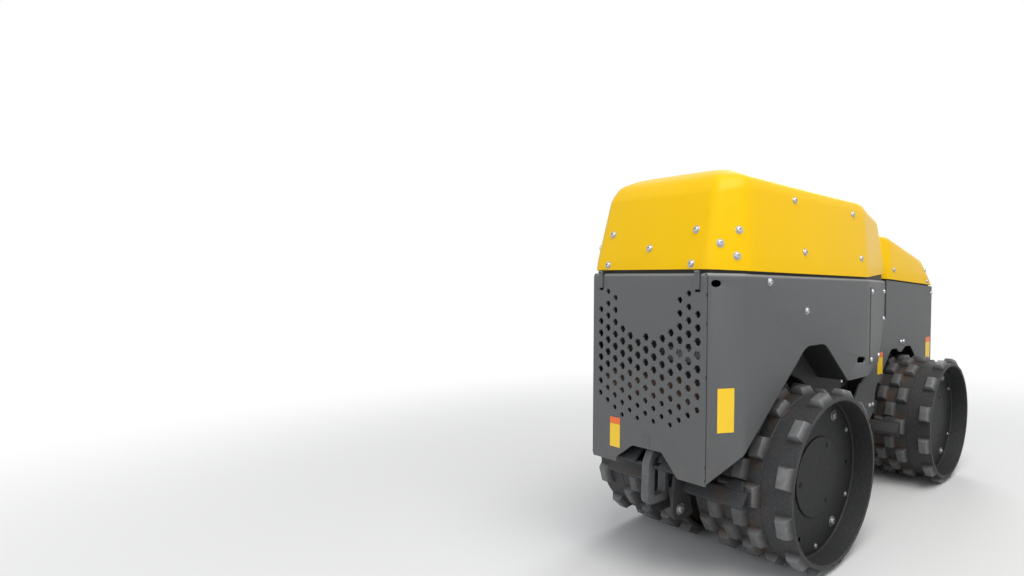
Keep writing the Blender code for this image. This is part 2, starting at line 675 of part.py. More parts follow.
def engine_lower_frame():
    """Side plates with their wheel arch, front plate, pivot lugs, keel and axle housing."""
    cx, cz = ENGINE_AXLE_X, AXLE_Z
    under = SEAM
    low_z = LUG_LOW_Z0 - 0.004
    start = 176.0
    arch = arc((cx, cz), ARCH_R, start, 13.0, 14)
    rear_x = GRILLE_X - 0.0185
    top = [(x, z - under * 1.6) for x, z in reversed(BELLY) if FRONT_X < x < rear_x]
    outline = [(FRONT_X, BELLY_END_Z - 0.004), (FRONT_X, low_z), (0.177, low_z), (0.187, 0.287)] + arch
    outline += [(cx + ARCH_R - 0.004, HANG_Z), (rear_x, HANG_Z)]
    outline += [(rear_x, line_z(BELLY, rear_x) - under * 1.6)] + top
    frame = None
    for side in (1, -1):
        cheek = plate_between("engine_lower_frame" if frame is None else "frame_cheek", [outline], "XZ",
                              *sorted((side * FRAME_W, side * (FRAME_W - FRAME_T))), PAINT_DARK)
        frame = cheek if frame is None else join(frame, cheek)
    w = FRAME_W - FRAME_T / 2
    join(frame, box("frame_front", FRONT_X, FRONT_X + FRONT_T, -w, w, low_z, ARM_Z0, PAINT_DARK))
    sheet = arc((cx, cz), ARCH_R - 0.0002, 168.0, 12.5, 12) + arc((cx, cz), ARCH_R + FRAME_T, 12.5, 168.0, 12)
    join(frame, plate_between("frame_arch", [sheet], "XZ", -w, w, PAINT_DARK))
    join(frame, box("frame_beam", cx + ARCH_R - 0.011, rear_x, -w, w, HANG_Z, HANG_Z + BEAM_T, PAINT_DARK))
    join(frame, box("tow_post", TOW_IN_X - SEAM - 0.014, TOW_IN_X - SEAM, -w, w, HANG_Z + 0.002, TOW_TOP_Z,
                    PAINT_DARK))
    join(frame, box("scraper_pad", cx - ARCH_R - 0.022, cx - ARCH_R + 0.011, -0.070, 0.070, HANG_Z,
                    HANG_Z + BEAM_T + 0.004, PAINT_DARK))
    keel = [(cx - 0.150, cz + 0.275), (cx - 0.150, cz + 0.12)] + arc((cx, cz), HUB_R, 180.0, 360.0, 10)
    keel += [(cx + 0.150, cz + 0.12), (cx + 0.150, cz + 0.275), (cx + 0.080, cz + ARCH_R + 0.004),
             (cx - 0.080, cz + ARCH_R + 0.004)]
    join(frame, plate_between("frame_keel", [keel], "XZ", -KEEL_W, KEEL_W, PAINT_DARK))
    cut(frame, box("beam_slot", TOW_IN_X - SEAM - 0.002, rear_x + 0.01, -TOW_W - SEAM, TOW_W + SEAM, HANG_Z - 0.01,
                   HANG_Z + BEAM_T + 0.01, PAINT_DARK))
    tip = LUG_TIP_R
    pivot = (PIVOT_X, 0.0)
    lug = [(FRONT_X + FRONT_T / 2, 0.085), (PIVOT_X, tip)] + arc(pivot, tip, 90.0, 270.0, 6)[1:]
    lug += [(FRONT_X + FRONT_T / 2, -0.085)]
    for z0, z1 in ((LUG_LOW_Z0, LUG_LOW_Z1), (LUG_UP_Z0, LUG_UP_Z1)):
        join(frame, plate_between("pivot_lug_%d" % (z0 * 1000), [lug], "XY", z0, z1, PAINT_DARK))
    cut(frame, rod_between("pin_bore", PIN_R + SEAM, "Z", (PIVOT_X, 0.0, 0.0), PIN_LOW_Z - 0.05,
                           PIN_TOP_Z + 0.05, PAINT_DARK, 16))
    cut(frame, rod_between("axle_bore_engine", AXLE_R + BEARING_GAP, "Y", (cx, 0.0, cz), -0.1, 0.1,
                           PAINT_DARK, 32))
    return frame


def pivot_pin():
    head = PIN_HEAD_R
    profile = [(0.0, PIN_TOP_Z), (0.020, PIN_TOP_Z), (head, PIN_TOP_Z - 0.012), (head, LUG_UP_Z1 + SEAM),
               (PIN_R, LUG_UP_Z1 + SEAM), (PIN_R, LUG_LOW_Z0 - SEAM), (head, LUG_LOW_Z0 - SEAM),
               (head, LUG_LOW_Z0 - 0.014), (PIN_R, PIN_LOW_Z + 0.012), (0.010, PIN_LOW_Z), (0.0, PIN_LOW_Z)]
    return turned("articulation_pin", profile, "Z", (PIVOT_X, 0.0, 0.0), STEEL, 16)


def yoke():
    """Post, ears round the pin, steering arm and trunnion."""
    w = POST_W
    ear = [(POST_X0, w), (POST_X0, -w), (POST_X1 + 0.010, -w)]
    ear += [(PIVOT_X + EAR_R * cos(radians(a)), EAR_R * sin(radians(a))) for a in range(-72, 73, 24)]
    ear += [(POST_X1 + 0.010, w)]
    body = plate_between("yoke", [ear], "XY", EAR_LOW_Z0, EAR_LOW_Z1, PAINT_DARK)
    join(body, plate_between("upper_ear", [ear], "XY", EAR_UP_Z0, EAR_UP_Z1, PAINT_DARK))
    post = [(-w, EAR_LOW_Z0), (w, EAR_LOW_Z0), (w, EAR_UP_Z1), (w, POST_TOP_Z - 0.030), (0.075, POST_TOP_Z),
            (-0.060, POST_TOP_Z), (-w, EAR_UP_Z1)]
    join(body, plate_between("post", [post], "YZ", POST_X0, POST_X1, PAINT_DARK))
    for z0, z1 in ((LUG_LOW_Z1 + 0.0007, EAR_LOW_Z0 + 0.004), (EAR_UP_Z1 - 0.004, LUG_UP_Z0 - 0.0007)):
        join(body, rod_between("boss_%d" % (z0 * 1000), EAR_BOSS_R, "Z", (PIVOT_X, 0.0, 0.0), z0, z1,
                               PAINT_DARK, 16))
    arm = [(POST_X1 - 0.012, 0.064), (PIVOT_X - 0.002, LEVER - 0.021)]
    arm += arc((PIVOT_X, LEVER), 0.021, -80.0, 80.0, 4)
    arm += [(POST_X1 - 0.012, 0.110)]
    join(body, plate_between("steering_arm", [arm], "XY", ARM_Z0, ARM_Z1, PAINT_DARK))
    join(body, rod_between("eye_pin", EYE_PIN_R, "Z", (PIVOT_X, LEVER, 0.0), ARM_Z1 - 0.004,
                           EYE_Z + EYE_T / 2 + 0.008, PAINT_DARK, 12))
    join(body, turned("trunnion", [(0.0, 0.0), (TRUNNION_R, 0.0), (TRUNNION_R, -TRUNNION_L),
                                   (TRUNNION_R + 0.014, -TRUNNION_L + 0.0), (TRUNNION_R + 0.014, -TRUNNION_L - 0.012),
                                   (0.0, -TRUNNION_L - 0.012)], "X",
                      (POST_X0 + 0.004, 0.0, TRUNNION_Z), PAINT_DARK, 24))
    cut(body, rod_between("yoke_bore", PIN_R + BEARING_GAP, "Z", (PIVOT_X, 0.0, 0.0), PIN_LOW_Z, PIN_TOP_Z,
                          PAINT_DARK, 16))
    return body


def steering_cylinder():
    y = LEVER
    barrel = turned("steering_barrel", [(0.0, BARREL_X1), (BARREL_R, BARREL_X1), (BARREL_R, BARREL_X0),
                                        (ROD_R + BEARING_GAP, BARREL_X0),
                                        (ROD_R + BEARING_GAP, BARREL_X0 + ROD_REACH + 0.045),
                                        (0.0, BARREL_X0 + ROD_REACH + 0.045)],
                    "X", (0.0, y, EYE_Z), PAINT_DARK, 16)
    foot = box("barrel_foot", BARREL_X1 - 0.022, BARREL_X1, y - 0.018, FRAME_W - FRAME_T - SEAM, EYE_Z - 0.014,
               EYE_Z + 0.014, PAINT_DARK)
    join(barrel, foot)
    rod = turned("steering_rod", [(0.0, BARREL_X0 + ROD_REACH), (ROD_R, BARREL_X0 + ROD_REACH),
                                  (ROD_R, PIVOT_X + EYE_HOLE_R + 0.004), (0.0, PIVOT_X + EYE_HOLE_R + 0.004)],
                 "X", (0.0, y, EYE_Z), STEEL, 16)
    join(rod, rod_between("rod_eye", EYE_R, "Z", (PIVOT_X, y, EYE_Z), -EYE_T / 2, EYE_T / 2, STEEL, 16))
    cut(rod, rod_between("rod_eye_hole", EYE_HOLE_R, "Z", (PIVOT_X, y, EYE_Z), -EYE_T, EYE_T, STEEL, 16))
    return barrel, rod


def scraper(name, axle_x, way):
    """Angle bar across both drums with its two hanging cheeks; way is +1 or -1 along X."""
    cz = AXLE_Z - 0.004
    ax = axle_x + way * APEX_R
    ix = axle_x + way * SCRAPER_R
    t = SCRAPER_T * way
    s = SCRAPER_SPREAD
    nose, low = cz - APEX_DROP, cz - SCRAPER_LOW
    bar = [(ix, cz + s), (ax, nose), (ix, low), (ix, low + SCRAPER_T * 1.2),
           (ax - t * 1.35, nose), (ix, cz + s - SCRAPER_T * 1.4)]
    if way < 0:
        bar = list(reversed(bar))
    body = plate_between(name, [bar], "XZ", -SCRAPER_OUT_Y, SCRAPER_OUT_Y, PAINT_DARK)
    tab = [(ix, cz + s - 0.006), (ix, cz + s + 0.006), (ix + way * 0.004, cz + TAB_UP), (ix + way * 0.012, cz + TAB_UP),
           (ix + way * 0.016, cz + s - 0.006)]
    if way < 0:
        tab = list(reversed(tab))
    for side in (1, -1):
        join(body, plate_between(name + "_tab%d" % side, [tab], "XZ", *sorted((side * TAB_IN_Y,
                                 side * TAB_OUT_Y)), PAINT_DARK))
        reach = [(0.302, HANG_Z - SEAM), (0.334, HANG_Z - SEAM), (0.337, 0.205), (0.319, 0.178),
                 (0.272, 0.176)]
        if "outer" in name:
            reach[1:4] = [(0.345, HANG_Z - SEAM), (0.360, 0.262), (0.360, 0.196), (0.346, 0.178)]
        curve = arc((axle_x, AXLE_Z), SCRAPER_R, -20.0, 11.0, 3) if way > 0 else \
            arc((axle_x, AXLE_Z), SCRAPER_R, 200.0, 169.0, 3)
        cheek = [(axle_x + way * dx, z) for dx, z in reach] + curve
        join(body, plate_between(name + "_cheek%d" % side, [cheek], "XZ",
                                 *sorted((side * CHEEK_Y, side * (CHEEK_Y + CHEEK_T))), PAINT_DARK))
    return body


def tow_loop(name, way, x_in, x_out, z_top, z_low, hole):
    """Upright ring plate hanging from the frame's end; way is +1 or -1 along X."""
    outer = [(x_in, z_top), (x_in, z_low + 0.012), (x_in + 0.010, z_low), (x_out - 0.026, z_low),
             (x_out - 0.006, z_low + 0.010), (x_out, z_low + 0.028), (x_out, z_top - 0.040),
             (x_out - 0.008, z_top - 0.018), (x_out - 0.026, z_top)]
    outer = [(way * x, z) for x, z in outer]
    inner = [(way * x, z) for x, z in hole]
    return plate_between(name, [outer, inner], "XZ", -TOW_W, TOW_W, PAINT_DARK)


def tank_side_points():
    """Outline of the tank half's side plate."""
    cx, cz = TANK_AXLE_X, AXLE_Z
    return [(TANK_FOLD_X, TANK_OUT_Z), (TANK_FOLD_X, SKIRT_Z), (-0.830, SKIRT_Z), (-0.815, 0.386),
            (-0.793, 0.436), (-0.783, 0.465), (-0.623, 0.605), (-0.560, 0.607), (-0.515, 0.585), (-0.488, 0.585),
            (-0.452, 0.605), (-0.394, 0.604), (-0.239, 0.449), (-0.227, 0.420), (-0.223, 0.373), (-0.205, 0.337),
            (-0.148, 0.290), (-0.148, 0.265), (-0.141, 0.258), (-0.065, 0.258), (-0.058, 0.265), (-0.058, 0.300),
            (-0.040, 0.340), (-0.034, 0.435), (-0.047, 0.440), (-0.076, 0.4795), (-0.101, 0.485), (-0.140, 0.514),
            (-0.1615, 0.539), (TANK_IN_X, NOSE_LOW_Z), (TANK_IN_X, TANK_IN_Z)]


def tank_body():
    w, t = TANK_W, TANK_T
    for word, side in (("left", 1), ("right", -1)):
        plate_between("tank_side_" + word, [tank_side_points()], "XZ", *sorted((side * w, side * (w - t))),
                      PAINT_GREY)
    # outer end, folded round both corners
    fx, ox, nook = TANK_FOLD_X - SEAM, TANK_OUT_X, TANK_FOLD_X - TANK_OUT_X
    outer = [(fx, w), (ox, w - nook), (ox, -(w - nook)), (fx, -w)]
    inner = [(fx, -(w - SHEET_T * 1.45)), (ox + SHEET_T, -(w - nook - SHEET_T * 0.42)),
             (ox + SHEET_T, w - nook - SHEET_T * 0.42), (fx, w - SHEET_T * 1.45)]
    end = plate_between("tank_end_plate", [outer + inner], "XY", SKIRT_Z, TANK_OUT_Z, PAINT_GREY)
    cut(end, box("loop_slot", ox - 0.01, ox + SHEET_T + 0.01, -TOW_W - SEAM, TOW_W + SEAM, SKIRT_Z - 0.01,
                 TANK_TOW_TOP_Z + 0.001, PAINT_GREY))
    for side in (1, -1):
        y0, y1 = sorted((side * (TANK_HINGE_Y - HINGE_HALF_W), side * (TANK_HINGE_Y + HINGE_HALF_W)))
        join(end, box("tank_strap%d" % side, TANK_HINGE_X - 0.001, ox + 0.001, y0, y1, TANK_HINGE_Z - HINGE_DROP,
                      TANK_HINGE_Z, PAINT_GREY))
        join(end, rod_between("tank_knuckle%d" % side, HINGE_R, "Y", (TANK_HINGE_X, 0.0, TANK_HINGE_Z), y0, y1,
                              PAINT_GREY, 12))
    inner = w - t - SEAM
    line = [(TANK_IN_X, TANK_IN_Z), (TANK_IN_X, NOSE_LOW_Z), (-0.1615, 0.539), (-0.140, 0.514)]
    verts, faces = [], []
    for x, z in line:
        verts += [(x, -inner, z), (x, inner, z)]
    for i in range(3):
        a = 2 * i
        faces.append((a, a + 1, a + 3, a + 2))
    sheet = mesh_from("tank_front_sheet", verts, faces, PAINT_DARK)
    orient(sheet, Vector((1.0, 0.0, 0.2)))
    thicken(sheet, SHEET_T)
    box("hydraulic_tank", TANK_OUT_X + SHEET_T + 0.020, TANK_IN_X - SHEET_T - SEAM, -inner, inner, BLOCK_LOW_Z,
        0.885, PAINT_DARK)


def tank_lower_frame():
    cx, cz = TANK_AXLE_X, AXLE_Z
    inner = TANK_W - TANK_T - SEAM
    top = BLOCK_LOW_Z - SEAM
    neck = plate_between("tank_lower_frame", [[(-inner, 0.290), (inner, 0.290), (inner, 0.500), (-inner, 0.500)]],
                         "YZ", NECK_X0, NECK_X1, PAINT_DARK)
    near = cx + KEEL_R
    far = cx - KEEL_R
    post_x = TANK_TOW_IN_X + SEAM
    low = HANG_Z + 0.001
    keel = [(NECK_X0 + 0.004, 0.495), (NECK_X0 + 0.004, low), (near + 0.002, low), (near - 0.006, 0.240),
            (cx + 0.200, 0.200)]
    keel += arc((cx, cz), HUB_R, -60.0, -120.0, 6)
    keel += [(cx - 0.200, 0.200), (far + 0.006, 0.241), (far - 0.002, low + 0.001), (post_x + 0.004, low + 0.0015),
             (post_x + 0.004, TANK_TOW_TOP_Z - 0.004), (-0.800, 0.420), (-0.740, top), (-0.340, top)]
    join(neck, plate_between("tank_keel", [keel], "XZ", -KEEL_W, KEEL_W, PAINT_DARK))
    join(neck, box("tank_beam", TANK_FOLD_X + SEAM, post_x + 0.034, -inner, inner, HANG_Z, HANG_Z + BEAM_T,
                   PAINT_DARK))
    join(neck, box("tank_tow_post", post_x, post_x + 0.014, -inner, inner, HANG_Z + 0.002, TANK_TOW_TOP_Z,
                   PAINT_DARK))
    join(neck, box("tank_scraper_pad", cx + ARCH_R - 0.011, cx + ARCH_R + 0.022, -0.070, 0.070, HANG_Z,
                   HANG_Z + BEAM_T + 0.004, PAINT_DARK))
    cut(neck, box("tank_beam_slot", TANK_FOLD_X - 0.01, post_x + 0.002, -TOW_W - SEAM, TOW_W + SEAM, HANG_Z - 0.01,
                  HANG_Z + BEAM_T + 0.01, PAINT_DARK))
    room = POST_X0 + 0.004 - TRUNNION_L
    cut(neck, rod_between("trunnion_bore", TRUNNION_R + BEARING_GAP, "X", (0.0, 0.0, TRUNNION_Z), room - 0.008,
                          0.0, PAINT_DARK, 24))
    cut(neck, rod_between("trunnion_room", TRUNNION_R + 0.014 + 0.006, "X", (0.0, 0.0, TRUNNION_Z),
                          room - 0.012 - 0.006, NECK_X0 - 0.0005, PAINT_DARK, 24))
    cut(neck, rod_between("axle_bore_tank", AXLE_R + BEARING_GAP, "Y", (cx, 0.0, cz), -0.1, 0.1, PAINT_DARK, 32))
    return neck


def lifting_loop():
    """Round bar bent over, standing on a foot plate on the engine floor."""
    curve = bpy.data.curves.new("lifting_loop", "CURVE")
    curve.dimensions = "3D"
    curve.bevel_depth = LOOP_BAR_R
    curve.bevel_resolution = 1
    curve.use_fill_caps = True
    r = (LOOP_X1 - LOOP_X0) / 2
    mid = (LOOP_X0 + LOOP_X1) / 2
    top = LOOP_TOP_Z - LOOP_BAR_R - r
    foot = floor_top(LOOP_X0) + 0.006
    path = [(LOOP_X0, foot)] + arc((mid, top), r, 180.0, 0.0, 12) + [(LOOP_X1, foot)]
    spline = curve.splines.new("POLY")
    spline.points.add(len(path) - 1)
    for point, (x, z) in zip(spline.points, path):
        point.co = (x, 0.0, z, 1.0)
    drawn = bpy.data.objects.new("loop_line", curve)
    bpy.context.scene.collection.objects.link(drawn)
    bpy.context.view_layer.update()
    mesh = bpy.data.meshes.new_from_object(drawn.evaluated_get(bpy.context.evaluated_depsgraph_get()))
    bpy.data.objects.remove(drawn, do_unlink=True)
    bm = bmesh.new()
    bm.from_mesh(mesh)
    bmesh.ops.remove_doubles(bm, verts=bm.verts, dist=1e-5)
    bmesh.ops.recalc_face_normals(bm, faces=bm.faces)
    bm.to_mesh(mesh)
    bm.free()
    loop = put("lifting_loop", mesh, PAINT_DARK)
    x0, x1 = LOOP_X0 - 0.024, LOOP_X1 + 0.020
    base = [(x0, floor_top(x0) + SEAM), (x1, floor_top(x1) + SEAM), (x1, floor_top(x1) + 0.014),
            (x0, floor_top(x0) + 0.014)]
    return join(loop, plate_between("loop_foot", [base], "XZ", -0.040, 0.040, PAINT_DARK))


def hood_hinges():
    """Two straps on the grille with the hinge knuckle at the top."""
    for word, side in (("left", 1), ("right", -1)):
        y0, y1 = sorted((side * (HINGE_Y - HINGE_HALF_W), side * (HINGE_Y + HINGE_HALF_W)))
        strap = box("hood_hinge_" + word, GRILLE_X + SEAM, GRILLE_X + SEAM + 0.004, y0, y1,
                    HINGE_Z - HINGE_DROP, HINGE_Z, PAINT_DARK)
        join(strap, rod_between("knuckle_" + word, HINGE_R, "Y", (ENGINE_HINGE_X, 0.0, HINGE_Z), y0, y1,
                                PAINT_DARK, 12))


def small_pieces():
    # filler cap with a low neck, seated on the hood's flat top
    seat = line_z(HOOD_TOP, CAP_X - CAP_R) + SEAM
    turned("filler_cap", [(0.0, CAP_TOP_Z), (CAP_R - 0.014, CAP_TOP_Z), (CAP_R - 0.010, CAP_TOP_Z - 0.006),
                          (CAP_R - 0.006, seat + 0.010), (CAP_R, seat + 0.008), (CAP_R, seat), (0.0, seat)],
           "Z", (CAP_X, CAP_Y, 0.0), PLASTIC, 24)
    latch = [(-0.2361, 1.080), (-0.258, 1.086), (-0.262, 1.100), (-0.260, 1.166), (-0.250, 1.180), (-0.2225, 1.177)]
    plate_between("engine_hood_latch", [latch], "XZ", -0.024, 0.024, STEEL)
    latch = [(-0.3566, 1.080), (-0.340, 1.076), (-0.333, 1.052), (-0.331, 1.000), (-0.3396, 0.997)]
    plate_between("tank_hood_latch", [latch], "XZ", -0.024, 0.024, STEEL)
    box("engine_block", 0.250, 0.700, -0.180, 0.180, ARCH_Z + SHEET_T + SEAM, 1.080, PAINT_DARK)
    x0, x1 = 0.895, 0.925
    z0 = floor_top(x0) + SEAM
    box("cooler_core", x0, x1, -0.200, 0.200, z0, 0.885, PAINT_DARK)
    outline = [(0.1298, 0.8134), (0.3801, 0.8134), (0.3801, 0.6957), (0.269, 0.5948), (0.1298, 0.5948)]
    plate_between("side_access_cover", [outline], "XZ", -BODY_W - SEAM - 0.003, -BODY_W - SEAM, PAINT_GREY)


def lock_bar():
    """Transport bar stowed upright on its boss beside the engine frame."""
    x, z = 0.132, 0.326
    y = -FRAME_W - SEAM
    bar = [(x - 0.015, z), (x - 0.015, 0.470), (x - 0.030, 0.488), (x - 0.030, 0.506), (x + 0.006, 0.506),
           (x + 0.015, 0.492), (x + 0.015, z)]
    body = plate_between("lock_bar", [bar], "XZ", y - 0.012, y, PAINT_GREY)
    return join(body, rod_between("lock_boss", 0.029, "Y", (x, 0.0, z), y - 0.020, y, PAINT_GREY, 20))


for word, side in (("left", 1), ("right", -1)):
    side_panel("engine_side_" + word, side)
    cover_on_taper("front_cover_" + word, side)
floor_pan()
grille()
engine_lower_frame()
pivot_pin()
yoke()
steering_cylinder()
engine_hood()
tank_hood()
tank_body()
tank_lower_frame()
drum_set("engine", ENGINE_AXLE_X)
drum_set("tank", TANK_AXLE_X)
scraper("engine_scraper_outer", ENGINE_AXLE_X, 1)
scraper("engine_scraper_inner", ENGINE_AXLE_X, -1)
scraper("tank_scraper_inner", TANK_AXLE_X, 1)
scraper("tank_scraper_outer", TANK_AXLE_X, -1)
tow_loop("engine_tow_loop", 1, TOW_IN_X, 0.9430, TOW_TOP_Z, 0.236, [(0.880, 0.372), (0.880, 0.262), (0.896, 0.256),
                                                             (0.918, 0.285), (0.918, 0.350), (0.906, 0.372)])
tow_loop("tank_tow_loop", -1, -TANK_TOW_IN_X, 0.9535, TANK_TOW_TOP_Z, 0.237, [(0.889, 0.348), (0.889, 0.262),
                                                                            (0.903, 0.254), (0.931, 0.285),
                                                                            (0.931, 0.330), (0.920, 0.348)])
lifting_loop()
hood_hinges()
small_pieces()
lock_bar()
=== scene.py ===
# %% [markdown]
# # Dressing a trench roller
# A trench roller is a narrow, walk-behind compactor in two halves. The packed CAD model already
# holds its bodies, its joints and its main shapes. This lesson loads that model as a fixed frame
# and builds the pieces that a close look needs around it: rolled sheet metal, a perforated
# grille, studded drums, bolts, seals and paint.

# %% The packed frame
from math import atan2, cos, pi, radians, sin, sqrt

import bpy
import bmesh
from mathutils import Matrix, Vector
from mathutils.bvhtree import BVHTree


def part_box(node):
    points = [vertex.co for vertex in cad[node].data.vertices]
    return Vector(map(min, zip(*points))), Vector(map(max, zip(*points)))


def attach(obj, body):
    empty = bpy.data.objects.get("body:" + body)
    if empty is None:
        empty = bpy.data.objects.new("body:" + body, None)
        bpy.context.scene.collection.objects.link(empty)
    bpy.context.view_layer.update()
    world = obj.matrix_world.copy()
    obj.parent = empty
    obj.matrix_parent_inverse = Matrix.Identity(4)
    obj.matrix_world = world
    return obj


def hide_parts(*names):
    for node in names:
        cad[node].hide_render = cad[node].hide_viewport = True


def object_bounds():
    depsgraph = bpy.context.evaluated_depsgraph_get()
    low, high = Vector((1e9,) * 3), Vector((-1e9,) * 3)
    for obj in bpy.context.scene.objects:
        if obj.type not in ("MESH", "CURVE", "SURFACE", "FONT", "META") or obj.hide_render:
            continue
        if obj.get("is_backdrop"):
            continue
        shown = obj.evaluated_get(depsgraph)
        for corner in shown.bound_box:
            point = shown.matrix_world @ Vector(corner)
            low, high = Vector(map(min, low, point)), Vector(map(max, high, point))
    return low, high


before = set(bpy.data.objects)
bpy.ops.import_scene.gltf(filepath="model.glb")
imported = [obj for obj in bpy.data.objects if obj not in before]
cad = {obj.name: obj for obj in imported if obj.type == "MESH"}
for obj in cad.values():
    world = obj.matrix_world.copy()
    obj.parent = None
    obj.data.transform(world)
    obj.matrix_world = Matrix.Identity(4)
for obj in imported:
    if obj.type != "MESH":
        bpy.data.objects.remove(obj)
CAD_LOW, CAD_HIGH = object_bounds()
scene = bpy.context.scene
print("CAD box", [round(v, 4) for v in CAD_LOW], [round(v, 4) for v in CAD_HIGH])

# %% [markdown]
# ## Camera
# The camera comes first. Its place, heading, tilt and roll were worked out from corners that both the
# photograph and the side drawing show. The picture is a crop, so the lens axis isn't in the middle of it; the
# camera's shift says by how much.

# %% Camera
CAMERA_AT = Vector((2.0915, 1.2596, 0.8806))
HEADING, TILT, ROLL = radians(216.518), radians(-1.4), radians(0.828)
PICTURE_W, PICTURE_H = 1024, 576
FOCAL_PIXELS = 572.74
AXIS_PIXEL = (760.0, 301.55)
SENSOR_MM = 36.0


def linked(name, data):
    """A new object in the scene that holds this data."""
    made = bpy.data.objects.new(name, data)
    scene.collection.objects.link(made)
    return made


def camera_matrix():
    """World matrix of a camera that looks along the heading, with its tilt and roll."""
    ahead = Vector((cos(TILT) * cos(HEADING), cos(TILT) * sin(HEADING), sin(TILT)))
    right = ahead.cross(Vector((0.0, 0.0, 1.0))).normalized()
    up = right.cross(ahead)
    across = right * cos(ROLL) + up * sin(ROLL)
    upward = up * cos(ROLL) - right * sin(ROLL)
    turn = Matrix((across, upward, -ahead)).transposed().to_4x4()
    return Matrix.Translation(CAMERA_AT) @ turn


camera_data = bpy.data.cameras.new("camera")
camera = linked("camera", camera_data)
camera.matrix_world = camera_matrix()
camera_data.sensor_width = SENSOR_MM
camera_data.lens = FOCAL_PIXELS * SENSOR_MM / PICTURE_W
camera_data.shift_x = (PICTURE_W / 2 - AXIS_PIXEL[0]) / PICTURE_W
camera_data.shift_y = (AXIS_PIXEL[1] - PICTURE_H / 2) / PICTURE_W
scene.camera = camera
scene.view_settings.view_transform = "Standard"
print("lens", round(camera_data.lens, 2), "mm")

# %% [markdown]
# ## Node helpers
# Materials and Geometry Nodes are both graphs, so one short function adds a node to either. It
# takes settings by name and sockets by label or number, and links a value that is itself a socket.


# %% Node helpers
def node(tree, kind, settings=None, **sockets):
    made = tree.nodes.new(kind)
    for name, value in (settings or {}).items():
        setattr(made, name, value)
    for label, value in sockets.items():
        number = label[1:]
        socket = made.inputs[int(number)] if number.isdigit() else made.inputs[label.replace("_", " ")]
        if isinstance(value, bpy.types.NodeSocket):
            tree.links.new(value, socket)
        else:
            socket.default_value = value
    return made


def calc(tree, operation, first, second=0.0, third=0.0):
    """One arithmetic node; returns its result."""
    made = node(tree, "ShaderNodeMath", {"operation": operation}, _0=first, _1=second, _2=third)
    return made.outputs[0]


def spread(tree, value, low, high, to_low=0.0, to_high=1.0):
    """Eases a value from one span to another and stops at both ends."""
    made = node(tree, "ShaderNodeMapRange", {"interpolation_type": "SMOOTHSTEP"}, Value=value, From_Min=low,
                From_Max=high, To_Min=to_low, To_Max=to_high)
    return made.outputs["Result"]


print("node helpers ready")

# %% [markdown]
# ## Finishes
# Real paint is never one flat colour: it has a fine skin that breaks up the gloss, slight clouds
# of tone, and dirt where water dries. Each finish here starts from a base colour and mixes those
# in by noise that reads Object coordinates, so the pattern stays on the piece as it moves.


# %% Layers of a finish
class Finish:
    """A material in the making: a shader with a colour that further layers are mixed over."""

    def __init__(self, name, colour, roughness, metallic=0.0, coat=0.0, specular=0.5):
        self.material = bpy.data.materials.new(name)
        self.material.use_nodes = True
        self.material.diffuse_color = (*colour, 1.0)
        self.tree = self.material.node_tree
        self.shader = self.tree.nodes["Principled BSDF"]
        self.shader.inputs["Metallic"].default_value = metallic
        self.shader.inputs["Coat Weight"].default_value = coat
        self.shader.inputs["Specular IOR Level"].default_value = specular
        self.place = node(self.tree, "ShaderNodeTexCoord").outputs["Object"]
        self.colour = node(self.tree, "ShaderNodeRGB").outputs[0]
        self.colour.default_value = (*colour, 1.0)
        self.roughness = calc(self.tree, "ADD", roughness)
        self.height = None

    def noise(self, scale, detail=2.0):
        return node(self.tree, "ShaderNodeTexNoise", Vector=self.place, Scale=scale, Detail=detail).outputs[0]

    def axis(self, letter, source="Object"):
        """One part of a point's place or, with Normal as source, of the way that its surface faces."""
        vector = node(self.tree, "ShaderNodeTexCoord").outputs[source]
        return node(self.tree, "ShaderNodeSeparateXYZ", Vector=vector).outputs[letter]

    def between(self, value, span, ends=(0.0, 1.0)):
        """Eases a value from a span to two end values."""
        return spread(self.tree, value, *span, *ends)

    def grain(self, scale, detail, span, ends=(0.0, 1.0)):
        """Noise, eased between two of its levels."""
        return self.between(self.noise(scale, detail), span, ends)

    def times(self, *factors):
        """The product of several values."""
        product = factors[0]
        for factor in factors[1:]:
            product = calc(self.tree, "MULTIPLY", product, factor)
        return product

    def mix(self, factor, colour):
        """Lays a colour over the others, as far as the factor says."""
        made = node(self.tree, "ShaderNodeMix", {"data_type": "RGBA"}, _0=factor, _6=self.colour,
                    _7=(*colour, 1.0))
        self.colour = made.outputs[2]

    def speckle(self, scale, detail, span, amount, colour):
        """Mixes a colour in where noise is high, up to an amount."""
        self.mix(self.grain(scale, detail, span, (0.0, amount)), colour)

    def rougher(self, factor, amount):
        self.roughness = calc(self.tree, "MULTIPLY_ADD", factor, amount, self.roughness)

    def bump(self, height, strength, distance):
        made = node(self.tree, "ShaderNodeBump", Height=height, Strength=strength, Distance=distance)
        if self.height is not None:
            self.tree.links.new(self.height, made.inputs["Normal"])
        self.height = made.outputs[0]

    def done(self):
        self.tree.links.new(self.colour, self.shader.inputs["Base Color"])
        self.tree.links.new(self.roughness, self.shader.inputs["Roughness"])
        if self.height is not None:
            self.tree.links.new(self.height, self.shader.inputs["Normal"])
        return self.material


print("a finish can", [name for name in vars(Finish) if name[0] != "_"])


